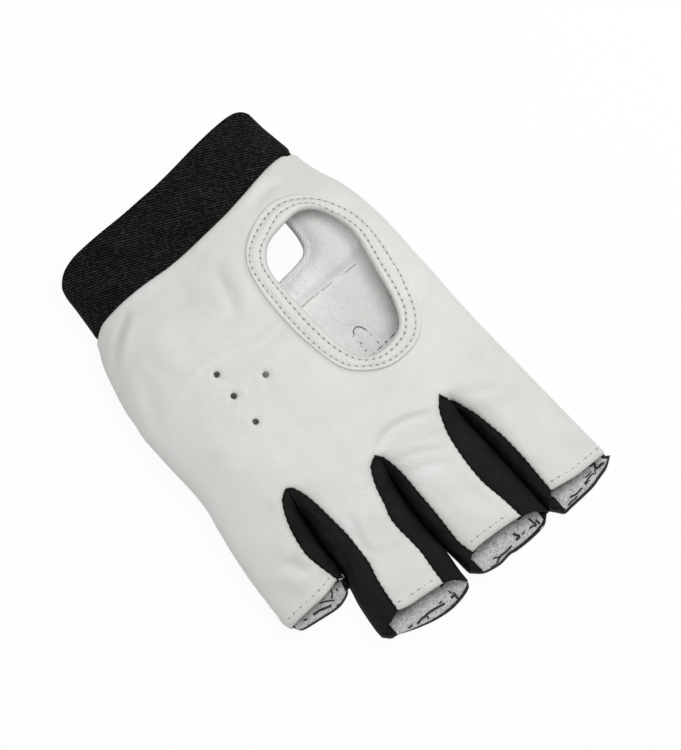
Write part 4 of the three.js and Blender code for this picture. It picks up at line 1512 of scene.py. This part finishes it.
hand_top = []
for number in (3, 2, 1, 0):
    left = across_at(seam_left, INDEX_SEAM_START) if number == 0 else roots[number - 1, 0]
    right = across_at(seam_right, LITTLE_SEAM_START) if number == 3 else roots[number, 0]
    hand_top += [(x, start_at(number, x)) for x in np.linspace(right, left, 12)]
hand_top = np.array(hand_top)
hand_pad_outline = joined([
    seam_side(BACK_END, BACK_END, seam_left, SEAM_INSET)[:1],
    window_line(1.2 * MM),
    seam_side(BACK_END, hand_top[0, 1] - 1 * MM, seam_right, -SEAM_INSET),
    hand_top,
    seam_side(hand_top[-1, 1] - 1 * MM, BACK_CLOSE, seam_left, SEAM_INSET),
], 1.2 * MM)
channels = [photo_line(points, 1 * MM, 1 * MM) for points, _, _ in LINING_SEAMS]
wrist_line = np.column_stack([np.linspace(-0.06, 0.06, 60), np.full(60, BACK_END)])
pads = [make_pad("hand_back_pad", hand_pad_outline, [wrist_line], channels)]
for number, finger in enumerate(FINGERS):
    lip = lips[number].copy()
    # The finger's pad starts a little past the hand's, and stops short of its lip's corners
    left_end, right_end = lip[0, 1] - 1 * MM, lip[-1, 1] - 1 * MM
    left_x = roots[number - 1, 0] if number else across_at(seam_left, INDEX_SEAM_START + 1 * MM)
    right_x = across_at(seam_right, LITTLE_SEAM_START) if number == 3 else roots[number, 0]
    left_start, right_start = (start_at(number, x) + 0.3 * MM for x in (left_x, right_x))
    if number == 0:
        left = seam_side(left_end, left_start, seam_left, SEAM_INSET)
        left[:, 0] -= 1.1 * MM * ease((left[:, 1] - lip[0, 1] + 6 * MM) / (4 * MM))
    else:
        along = np.arange(left_end, left_start, -1 * MM)
        left = np.column_stack([finger_side(number, along, -1) + 0.1 * MM, along])
        lip[:, 0] = np.clip(lip[:, 0], left[0, 0], None)
    if number == 3:
        right = seam_side(right_start, right_end, seam_right, -SEAM_INSET)
        lip[:, 0] -= (SEAM_INSET + 0.4 * MM) * np.linspace(0, 1, len(lip)) ** 3
        lip[:, 0] = np.clip(lip[:, 0], left[0, 0], None)
    else:
        along = np.arange(right_start, right_end, 1 * MM)
        right = np.column_stack([finger_side(number, along, 1) - 0.1 * MM, along])
    outline = joined([left, right, lip[::-1]], 1.1 * MM)
    pads.append(make_pad(f"{finger}_back_pad", outline, [lip], []))
for piece in pads:
    moved = blow_up(piece, PAD_SWELL)
    print(piece.name, "swelled by up to %.2f mm" % (moved / MM))
put_on_bodies(pads, ["back_shell", "back_foam"], ["back_shell", "foam"])

# %% [markdown]
# ## The tape round the window
# The cut edge of shell, foam and lining round the wrist window is covered by a folded tape.
# It is swept along the window's edge with a hooked profile: flat on the lining, round the
# edge, and a little way under the shell.

# %% Sweep the tape
TAPE_PROFILE = [
    (2.1, 6.7), (2.05, 7.15), (1.7, 7.35), (1.2, 7.4), (0.7, 7.25), (0.2, 6.5), (0, 5.2),
    (0, 3.2), (0.1, 1.6), (0.5, 0.75), (1.2, 0.45), (2.4, 0.45), (2.4, 1.0), (1.4, 1.1),
    (0.9, 1.8), (0.8, 3.2), (0.85, 5.2), (1.1, 6.3), (1.5, 6.6),
]
tape_path = smooth_line(window_line(0), 1 * MM)
tape_points = []
for k, (place, out) in enumerate(zip(tape_path, left_of(tape_path))):
    sway = 0.25 * math.sin(k * 0.45) + 0.2 * math.sin(k * 0.17 + 1)
    for away, level in TAPE_PROFILE:
        plan = place + out * (away + 0.25 * sway * (level > 3)) * MM
        tape_points.append((*plan, (level + sway * 0.35 * (level > 3)) * MM))
tape_rings = len(tape_path), len(TAPE_PROFILE)
tape_faces = turned_over(faces_between(*tape_rings)) + end_caps(*tape_rings)
tape = new_piece("window_tape", tape_points, tape_faces)
face_outward(tape)
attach(tape, "hand")
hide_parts("window_binding")
tape_width = line_length(np.array(TAPE_PROFILE) * MM, closed=True) / 2
print("tape: %.0f mm long and %.0f mm wide" % (line_length(tape_path) / MM, tape_width / MM))

# %% [markdown]
# ## Thread on the lining
# The padding is stitched through, which shows on the lining as rows of small bluish threads,
# and the lining's edge at each finger mouth is overcast with a dark zigzag.

# %% Sew the lining
def lining_spots(plan, lift):
    """Places on the lining's upper face, with the direction out of it."""
    step = 0.5 * MM

    def level(shift):
        moved = plan + np.array(shift)
        return np.column_stack([moved, lining_level(moved)])

    across = level((step, 0)) - level((-step, 0))
    along = level((0, step)) - level((0, -step))
    up = unit(np.cross(across, along))
    return level((0, 0)) + up * lift, up


lining_rows = []
thin_thread = small_form(6, 5, (1.3 * MM, 0.3 * MM, 0.26 * MM))
for number, (line, _, _) in enumerate(lining_seam_lines[1:3], 2):
    line = line[(line[:, 0] > -0.058) & (line[:, 0] < 0.0) & (line[:, 1] < 0.012)]
    travel = travelled(line)
    spots = np.arange(1 * MM, travel[-1], 2.1 * MM)
    plan = at_travel(spots, travel, line)
    ahead = at_travel(spots + 0.2 * MM, travel, line)
    place, up = lining_spots(plan, 0.05 * MM)
    way = np.column_stack([ahead - plan, np.zeros(len(plan))])
    row = copies_along(f"lining_row_{number + 1}", thin_thread, place, way, up)
    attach(row, "hand")
    lining_rows.append(row)


def tube_form(points, radius, sides=6):
    """The points and faces of a thin round thread, closed at both ends."""
    way = unit(np.gradient(points, axis=0))
    side = unit(np.cross(way, (0, 0, 1)))
    up = np.cross(side, way)
    turns = np.arange(sides) / sides * 2 * math.pi
    rings = [points + radius * (side * math.cos(t) + up * math.sin(t)) for t in turns]
    caps = [face[::-1] for face in end_caps(len(points), sides)]
    return np.stack(rings, axis=1).reshape(-1, 3), faces_between(len(points), sides) + caps


def threads_on_lining(name, strokes, body, height):
    """One piece of threads that lie on the lining, each a grid line and a radius in mm."""
    places, faces, start = [], [], 0
    for line, radius in strokes:
        plan = photo_line(line, height, 0.4 * MM)
        place, _ = lining_spots(plan, 0.6 * radius * MM)
        form, form_faces = tube_form(place, radius * MM)
        places.append(form)
        faces += [tuple(v + start for v in face) for face in form_faces]
        start += len(form)
    piece = new_piece(name, np.vstack(places), faces)
    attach(piece, body)
    return piece


# %% Overcast the mouths
MOUTH_THREADS = {
    "index": [
        ([(-50.2, 94.8), (-51.3, 95.1), (-52.5, 95.5), (-51.5, 97), (-52.8, 97.4),
          (-54.1, 97.4), (-55.3, 97.8)], 0.44),
        ([(-50.9, 97.1), (-50.3, 98.2), (-48.7, 97.6), (-46.2, 97.9), (-44.3, 98.2)], 0.26),
        ([(-49.5, 96.8), (-47.9, 96.8), (-46.2, 96.8)], 0.21),
        ([(-46.9, 98.6), (-45.6, 98.6), (-44.3, 98.7)], 0.21),
        ([(-42.6, 98.6), (-41.1, 98.7), (-39.4, 98.7), (-38.1, 98.2), (-36.7, 97.9)], 0.31),
        ([(-39.2, 99.5), (-37.9, 99.7), (-37, 99.5), (-35.6, 99.5), (-34.3, 99.5)], 0.29),
    ],
    "middle": [
        ([(-11.3, 92.4), (-11.9, 93.7), (-12.4, 94.8), (-10.5, 94.8)], 0.44),
        ([(-7.9, 95.1), (-5.2, 95.3), (-3.4, 95.1), (-1.7, 95), (0.7, 95.8)], 0.34),
        ([(-1.2, 94.8), (-0.2, 94.1), (0.9, 93.7)], 0.26),
        ([(1.2, 96.3), (2.4, 96), (3.7, 95.6)], 0.31),
        ([(-19.6, 92.7), (-19.8, 94.2), (-20.1, 96.4), (-18.9, 95.6), (-17.4, 95.3)], 0.34),
        ([(-21.1, 94.8), (-21.4, 95.8), (-21.5, 96.9)], 0.39),
        ([(-15.1, 95), (-13.6, 94.9)], 0.21),
    ],
    "ring": [
        ([(26.1, 92.7), (28, 92.2), (29.8, 91.6), (33, 90.9), (34.8, 90.8), (36.7, 90.6),
          (38.9, 90.8)], 0.39),
        ([(26.3, 91.3), (27.7, 91.3)], 0.26),
        ([(40.7, 89.7), (41.7, 89.7), (42.5, 89.5)], 0.31),
        ([(22.9, 93), (21.2, 93.2), (21, 94.9)], 0.44),
        ([(20.7, 92.1), (20.7, 92.9), (21, 93.7)], 0.29),
        ([(34.3, 90.6), (34.3, 91.4), (34.5, 92.4)], 0.31),
        ([(21.7, 90.5), (21.6, 91.5), (21.4, 92.3)], 0.23),
    ],
    "little": [
        ([(53.4, 57.8), (53.6, 58.7), (54.1, 59.6), (55.6, 60.8)], 0.26),
        ([(60.1, 59), (59, 59.3), (58.2, 59.8), (56.6, 60.9), (55.3, 61.9)], 0.23),
        ([(57.3, 62.4), (58.5, 62), (59.8, 61.5), (61.7, 60.7), (63.1, 60.4),
          (64.7, 60.1)], 0.39),
        ([(51.5, 59.4), (51.6, 59.9), (51.7, 60.4)], 0.29),
        ([(55.6, 63.8), (55.6, 64.3), (55.5, 64.7)], 0.47),
        ([(69.1, 59), (68.5, 59.3), (67.7, 59.6)], 0.29),
        ([(69.4, 61.7), (68.8, 62.1), (68.3, 62.3)], 0.23),
    ],
}
overcasts = [
    threads_on_lining(f"{finger}_overcast", strokes, f"{finger}_finger", 5.5 * MM)
    for finger, strokes in MOUTH_THREADS.items()
]
# The cut ends of the quilting thread, seen through the thumb hole
QUILT_ENDS = [
    ([(-27, -3), (-26.5, -4.8), (-25.6, -6.1), (-24.3, -6.6), (-23.2, -6), (-22.5, -4.8)], 0.2),
    ([(-33.3, 5.7), (-32.4, 5.5)], 0.24), ([(-30, 5.6), (-28.8, 5.4)], 0.24),
    ([(-26.6, 5.5), (-25.6, 5.4)], 0.22), ([(-21.4, 2.9), (-21.3, 2)], 0.22),
    ([(-22, -0.3), (-22, -1.1)], 0.18), ([(-27, 3.9), (-27, 3)], 0.2),
]
quilt_ends = threads_on_lining("quilting_thread_ends", QUILT_ENDS, "hand", LINING_LEVEL)
CROSS_SEAM = [
    ([(-8, -27), (-14, -26.9), (-20, -26.6), (-24.5, -26.2)], 0.24),
    ([(-25.5, -26), (-29, -25.6), (-31, -25.4)], 0.2),
    ([(-33.5, -25), (-37, -24.5), (-40, -24.1), (-42, -23.9)], 0.22),
]
cross_seam = threads_on_lining("cross_seam_thread", CROSS_SEAM, "hand", LINING_LEVEL)
print("loose threads:", len(overcasts) + 1)

# %% [markdown]
# White bar tacks hold the corners of the hems, where the leather meets the stretch wall.

# %% Tack the corners
tack_form = small_form(8, 7, (1.9 * MM, 0.42 * MM, 0.4 * MM))
# Each: the finger, the places on the grid, and the direction in degrees
TACKS = [
    ("ring", [(39.3, 84.4), (40.8, 84)], 69), ("ring", [(20.2, 94.2)], 60),
    ("middle", [(-20.9, 98.5)], 20), ("little", [(47.7, 57.8), (46.3, 57.6)], 150),
]


def surfaces_of(finger):
    """A finger's own pieces of cloth, with trees that find where a line meets them."""
    found = {}
    for piece in bpy.context.scene.objects:
        own = piece.name.startswith(finger) and piece.name not in frame["nodes"]
        if own and piece.type == "MESH":
            corners = [vertex.co for vertex in piece.data.vertices]
            faces = [face.vertices for face in piece.data.polygons]
            found[piece.name] = BVHTree.FromPolygons(corners, faces)
    return found


def first_hit(surfaces, spot):
    """Where the line of sight through a grid place first meets one of some surfaces."""
    near, far = (Vector((*(float(v) for v in seen(*spot, high)), high)) for high in (0.04, 0))
    sight = (far - near).normalized()
    hits = [(*surface.ray_cast(near, sight), name) for name, surface in surfaces.items()]
    place, out, _, _, on = min((hit for hit in hits if hit[0]), key=lambda hit: hit[3])
    print("tack on", on, "at %.1f mm" % (place.z / MM))
    return place + out * 0.1 * MM, out


tacks = []
for number, (finger, spots, turn) in enumerate(TACKS):
    surfaces = surfaces_of(finger)
    place, up = (np.array(rows) for rows in zip(*(first_hit(surfaces, spot) for spot in spots)))
    level = np.array([math.cos(math.radians(turn)), math.sin(math.radians(turn)), 0])
    way = level - up * (up @ level)[:, None]
    piece = copies_along(f"{finger}_tack_{number + 1}", tack_form, place, way, up)
    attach(piece, f"{finger}_finger")
    tacks.append(piece)
print("tacks:", len(tacks))

# %% [markdown]
# ## Finishes
# Each finish is made of nodes. A small class lets sockets be added and multiplied like
# numbers, so the sums read as they are meant. Patterns lie in Object coordinates, which here
# are plain metres on the glove, so their scale is the real one.

# %% Helpers for finishes
# The wave texture's scale for stripes one metre apart
STRIPE_SCALE = 0.314


class Wire:
    """A shader socket that takes part in Python sums."""

    def __init__(self, finish, socket):
        self.finish, self.socket = finish, socket

    def sum(self, operation, *values):
        return self.finish.node("ShaderNodeMath", {"operation": operation}, dict(enumerate(values)))

    def __add__(self, other):
        return self.sum("ADD", self, other)

    def __mul__(self, other):
        return self.sum("MULTIPLY", self, other)

    def __sub__(self, other):
        return self.sum("SUBTRACT", self, other)

    def __rsub__(self, other):
        return self.sum("SUBTRACT", other, self)

    __radd__, __rmul__ = __add__, __mul__


class Finish:
    """A material with one Principled shader, and the means to add nodes to it."""

    def __init__(self, name, colour, roughness, **constants):
        self.material = bpy.data.materials.new(name)
        self.material.use_nodes = True
        self.nodes, self.links = self.material.node_tree.nodes, self.material.node_tree.links
        self.shader = next(n for n in self.nodes if n.type == "BSDF_PRINCIPLED")
        self.shader.inputs["Base Color"].default_value = (*colour, 1)
        self.shader.inputs["Roughness"].default_value = roughness
        for socket, value in constants.items():
            self.shader.inputs[socket.replace("_", " ")].default_value = value
        self.material.diffuse_color = (*colour, 1)

    def node(self, kind, settings=None, inputs=None, output=0):
        made = self.nodes.new(kind)
        for name, value in (settings or {}).items():
            if name == "stops":
                stops = made.color_ramp.elements
                for i, (place, shade) in enumerate(value):
                    stop = stops[i] if i < 2 else stops.new(place)
                    stop.position, stop.color = place, (*shade, 1)
            else:
                setattr(made, name, value)
        for name, value in (inputs or {}).items():
            if isinstance(value, Wire):
                self.links.new(value.socket, made.inputs[name])
            else:
                made.inputs[name].default_value = value
        return Wire(self, made.outputs[output])

    def mapping(self, vector, **inputs):
        return self.node("ShaderNodeMapping", inputs={"Vector": vector, **inputs})

    def place(self, turn=0, scale=(1, 1, 1)):
        """Metres on the glove, stretched and turned about the upright axis."""
        spot = self.node("ShaderNodeTexCoord", output="Object")
        return self.mapping(spot, Rotation=(0, 0, turn), Scale=scale)

    def turned(self, turn, scale):
        """Metres on the glove, turned first and then stretched."""
        return self.mapping(self.place(turn), Scale=scale)

    def noise(self, vector, scale, detail=2, rough=0.5):
        inputs = {"Vector": vector, "Scale": scale, "Detail": detail, "Roughness": rough}
        return self.node("ShaderNodeTexNoise", inputs=inputs)

    def cells(self, vector, scale, feature="DISTANCE_TO_EDGE"):
        inputs = {"Vector": vector, "Scale": scale}
        return self.node("ShaderNodeTexVoronoi", {"feature": feature}, inputs)

    def bands(self, vector, pitch, distortion, detail=1.0):
        """Even stripes, a pitch in metres apart."""
        scale = STRIPE_SCALE / pitch
        inputs = {"Vector": vector, "Scale": scale, "Distortion": distortion, "Detail": detail}
        return self.node("ShaderNodeTexWave", {"wave_profile": "SIN"}, inputs)

    def ramp(self, factor, stops):
        return self.node("ShaderNodeValToRGB", {"stops": stops}, {"Fac": factor})

    def wear(self, **sockets):
        for name, value in sockets.items():
            self.links.new(value.socket, self.shader.inputs[name.replace("_", " ")])

    def fading(self, apart, reach):
        """1 where a distance is 0, falling to 0 at a reach."""
        left = 1 - apart * (1 / reach)
        return left.sum("MAXIMUM", left, 0)

    def thin_lines(self, wire, width):
        """1 along the lines where a pattern crosses its middle, 0 away from them."""
        return self.fading(wire.sum("ABSOLUTE", wire - 0.5), width)

    def near(self, place, reach):
        """1 at a place, falling to 0 at a reach from it."""
        settings, inputs = {"operation": "DISTANCE"}, {0: self.place(), 1: place}
        return self.fading(self.node("ShaderNodeVectorMath", settings, inputs, "Value"), reach)

    def relief(self, height, distance, strength):
        inputs = {"Height": height, "Distance": distance, "Strength": strength}
        bump = self.node("ShaderNodeBump", inputs=inputs)
        self.links.new(bump.socket, self.shader.inputs["Normal"])


def dress(finish, *pieces):
    """Gives pieces a finish."""
    for piece in pieces:
        piece.data.materials.clear()
        piece.data.materials.append(finish.material)


# %% [markdown]
# White glove leather: nearly even in colour, with a fine pebbled grain, faint stretch lines
# and a soft, dull shine. The grain is far too fine to model, so it is bump.

# %% Leather
leather = Finish("white_leather", (0.70, 0.702, 0.674), 0.55)
spot = leather.place()
cloudy = leather.noise(spot, 38, 3)
patchy = leather.noise(spot, 160, 3, 0.6)
grain = leather.cells(spot, 1300)
pebble = leather.noise(spot, 2600, 2)
lines = leather.noise(leather.place(turn=0.5, scale=(1, 0.35, 1)), 420, 3, 0.6)
creased = leather.noise(leather.turned(math.radians(-35), (1, 0.3, 1)), 170, 3, 0.5)
wrinkles = leather.thin_lines(creased, 0.06)
at_palm = leather.near((0.0115, -0.0286, 0.026), 0.03)
wrinkled = at_palm + leather.near((0.0017, 0.041, 0.022), 0.022) * 0.7 + 0.1
tones = [(0.3, (0.66, 0.663, 0.625)), (0.5, (0.70, 0.702, 0.674)), (0.7, (0.73, 0.731, 0.715))]
leather.wear(
    Base_Color=leather.ramp(cloudy * 0.6 + patchy * 0.4, tones),
    Roughness=patchy * 0.18 + 0.46,
)
height = grain * 0.35 + pebble * 0.25 + lines * 0.5 + patchy * 1.2 - wrinkles * wrinkled * 0.75
leather.relief(height, 0.00022, 0.6)
dress(leather, *leather_pieces, facing)

# %% [markdown]
# The stretch walls are matt black knit: soft, almost without shine, with fine wales.

# %% Stretch fabric
stretch = Finish("black_stretch", (0.013, 0.0125, 0.0115), 0.85, Specular_IOR_Level=0.12)
spot = stretch.place()
wales = stretch.bands(stretch.place(turn=0.1), 0.0008, 1.5)
fuzz = stretch.noise(spot, 1900, 3, 0.7)
soft = stretch.noise(spot, 130, 2)
tones = [(0.3, (0.0075, 0.0073, 0.0068)), (0.7, (0.0175, 0.017, 0.0155))]
stretch.wear(
    Base_Color=stretch.ramp(soft * 0.5 + fuzz * 0.5, tones),
    Roughness=fuzz * 0.2 + 0.76,
)
stretch.relief(wales * 0.5 + fuzz * 0.6, 0.00012, 0.6)
dress(stretch, *walls)

# %% [markdown]
# The cuff's elastic has fine slanting ribs, 0.9 mm apart, broken into short bright floats of
# thread, as a twill is.

# %% Elastic
elastic = Finish("black_elastic", (0.009, 0.0085, 0.0075), 0.75, Specular_IOR_Level=0.08)
ribs = elastic.bands(elastic.place(turn=math.radians(-60)), 0.00092, 1.2, 1.5)
dashes = elastic.noise(elastic.turned(math.radians(-60), (1, 0.8, 1)), 1100, 2, 0.6)
patches = elastic.noise(elastic.place(), 110, 2)
fuzz = elastic.noise(elastic.place(), 1500, 3, 0.7)
tones = [
    (0.22, (0.0008, 0.0007, 0.0007)), (0.6, (0.0085, 0.008, 0.0072)),
    (0.98, (0.042, 0.039, 0.035)),
]
elastic.wear(
    Base_Color=elastic.ramp(ribs * 0.62 + dashes * 1.45 + patches * 0.3 - 0.71, tones),
    Roughness=fuzz * 0.25 + 0.6,
)
elastic.relief(ribs + dashes * 0.8 + fuzz * 0.4, 0.00025, 0.8)
dress(elastic, cuff)

# %% [markdown]
# Terry is a field of tiny loops, so its light catches in specks; the tape is a plainer weave.

# %% Terry and tape
def terry_finish(name, dark, middle, light):
    """White loop pile in three tones."""
    terry = Finish(name, middle, 0.95, Specular_IOR_Level=0.2)
    spot = terry.place()
    loops = terry.cells(spot, 1150, "F1")
    tufts = terry.noise(spot, 900, 3, 0.75)
    clouds = terry.noise(spot, 120, 2)
    speck = loops * 0.5 + tufts * 0.6 + clouds * 0.15
    terry.wear(Base_Color=terry.ramp(speck, [(0.3, dark), (0.5, middle), (0.75, light)]))
    terry.relief(tufts * 1.2 + (1 - loops) * 0.6, 0.0005, 0.7)
    return terry


# The hand's lining is white terry. The finger linings are the same terry, but their much darker
# tones are painted shade, as they are seen only deep in the finger mouths.
TERRIES = {
    "white_terry": ((0.8, 0.797, 0.785), (0.95, 0.948, 0.935), (0.99, 0.988, 0.975)),
    "worn_terry": ((0.31, 0.305, 0.31), (0.57, 0.565, 0.56), (0.8, 0.79, 0.78)),
}
for (name, tones), pieces in zip(TERRIES.items(), (linings[:1], linings[1:])):
    dress(terry_finish(name, *tones), *pieces)

tape_finish = Finish("white_tape", (0.86, 0.86, 0.85), 0.9, Specular_IOR_Level=0.2)
weave = tape_finish.bands(tape_finish.place(turn=0.78), 0.001, 1)
fuzz = tape_finish.noise(tape_finish.place(), 1200, 3, 0.7)
tones = [(0.25, (0.76, 0.76, 0.755)), (0.65, (0.93, 0.93, 0.92))]
tape_finish.wear(Base_Color=tape_finish.ramp(fuzz * 0.6 + weave * 0.3, tones))
tape_finish.relief(weave * 0.6 + fuzz, 0.0003, 0.7)
dress(tape_finish, tape)

# %% [markdown]
# The shell is a tight black weave. Threads are white on the leather, bluish grey on the
# lining and black at the mouths; the needle holes' dark grey is painted shade.

# %% Shell and threads
shell = Finish("black_shell", (0.007, 0.007, 0.0075), 0.7, Specular_IOR_Level=0.25)
warp = shell.bands(shell.place(turn=math.pi / 4), 0.0016, 0.4)
weft = shell.bands(shell.place(turn=-math.pi / 4), 0.0016, 0.4)
fuzz = shell.noise(shell.place(), 900, 3, 0.7)
tones = [(0.25, (0.002, 0.002, 0.002)), (0.8, (0.016, 0.016, 0.017))]
shell.wear(
    Base_Color=shell.ramp(warp * 0.3 + weft * 0.3 + fuzz * 0.4, tones),
    Roughness=fuzz * 0.3 + 0.5,
)
shell.relief(warp * 0.5 + weft * 0.5 + fuzz * 0.4, 0.0002, 0.8)
dress(shell, *pads)


def thread_finish(name, dark, light):
    """Twisted thread between two tones."""
    finish = Finish(name, light, 0.6)
    twist = finish.bands(finish.place(turn=0.6), STRIPE_SCALE / 2500, 0.5)
    fuzz = finish.noise(finish.place(), 3000, 2)
    finish.wear(Base_Color=finish.ramp(twist * 0.5 + fuzz * 0.5, [(0.2, dark), (0.8, light)]))
    finish.relief(twist, 0.00006, 0.6)
    return finish


# The two hole finishes are painted shade of the needle holes, darker on the facing than at the hems
THREADS = [
    ("white_thread", (0.58, 0.58, 0.57), (0.78, 0.78, 0.77), [*thread_pieces, *tacks]),
    ("grey_hole", (0.25, 0.25, 0.245), (0.36, 0.36, 0.35), hole_shade_pieces),
    ("pale_hole", (0.36, 0.36, 0.355), (0.46, 0.46, 0.45), hem_hole_shades),
    ("blue_grey_thread", (0.12, 0.12, 0.2), (0.3, 0.3, 0.4), lining_rows[:1]),
    ("pale_grey_thread", (0.4, 0.4, 0.44), (0.58, 0.58, 0.61), lining_rows[1:]),
    ("black_thread", (0.01, 0.01, 0.01), (0.05, 0.05, 0.055), overcasts),
    ("violet_thread", (0.06, 0.06, 0.16), (0.2, 0.2, 0.36), [quilt_ends]),
    ("grey_thread", (0.34, 0.33, 0.31), (0.6, 0.59, 0.56), [cross_seam]),
]
for name, dark, light, pieces in THREADS:
    dress(thread_finish(name, dark, light), *pieces)

# %% [markdown]
# ## Table and light
# The table is white to the camera, and still takes the glove's soft shadow: its material
# mixes a white glow, seen by camera, gloss and clear rays only, with plain white paper. The
# key light hangs almost straight above, a little to the thumb's side, so the lining inside
# the thumb hole stays bright. Two low lights keep both side edges as pale as the photograph.

# %% Table and light
bpy.ops.object.select_all(action="DESELECT")
bpy.ops.mesh.primitive_plane_add(size=6, location=(0, 0, 0))
table = bpy.context.object
table.name = "table"
table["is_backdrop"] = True
paper = Finish("paper", (0.9, 0.9, 0.9), 1, Specular_IOR_Level=0)
camera_ray, glossy_ray, clear_ray = (
    paper.node("ShaderNodeLightPath", output=f"Is {kind} Ray")
    for kind in ("Camera", "Glossy", "Transmission")
)
clamped = {"operation": "ADD", "use_clamp": True}
amount = paper.node("ShaderNodeMath", clamped, {0: camera_ray + glossy_ray, 1: clear_ray})
glow = paper.node("ShaderNodeEmission", inputs={"Strength": 1})
plain = Wire(paper, paper.shader.outputs[0])
both = paper.node("ShaderNodeMixShader", inputs={0: amount * 0.94, 1: plain, 2: glow})
paper_end = next(node for node in paper.nodes if node.type == "OUTPUT_MATERIAL")
paper.links.new(both.socket, paper_end.inputs[0])
dress(paper, table)


def area_light(name, place, aim, size, power):
    """A square soft light that faces a place."""
    lamp = bpy.data.lights.new(name, "AREA")
    lamp.size, lamp.energy = size, power
    light = bpy.data.objects.new(name, lamp)
    bpy.context.scene.collection.objects.link(light)
    light.location = place
    light.rotation_euler = (Vector(aim) - Vector(place)).to_track_quat("-Z", "Y").to_euler()


area_light("key", (-0.08, 0.01, 0.47), (-0.02, 0, 0), 0.18, 1.1)
area_light("thumb_side", (-0.38, -0.02, 0.25), (0, 0, 0.01), 0.2, 0.55)
area_light("little_side", (0.42, -0.03, 0.25), (0, 0, 0.01), 0.2, 0.42)
world = bpy.data.worlds.new("studio")
bpy.context.scene.world = world
world.use_nodes = True
world.node_tree.nodes["Background"].inputs["Color"].default_value = (1, 1, 1, 1)
world.node_tree.nodes["Background"].inputs["Strength"].default_value = 0.27
bpy.context.scene.view_settings.view_transform = "Standard"

# %% [markdown]
# ## The size
# The dressed glove's box, without the table, is printed.

# %% Print the size
low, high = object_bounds()
print("visual box", [round(v / MM, 1) for v in (*low, *high)])
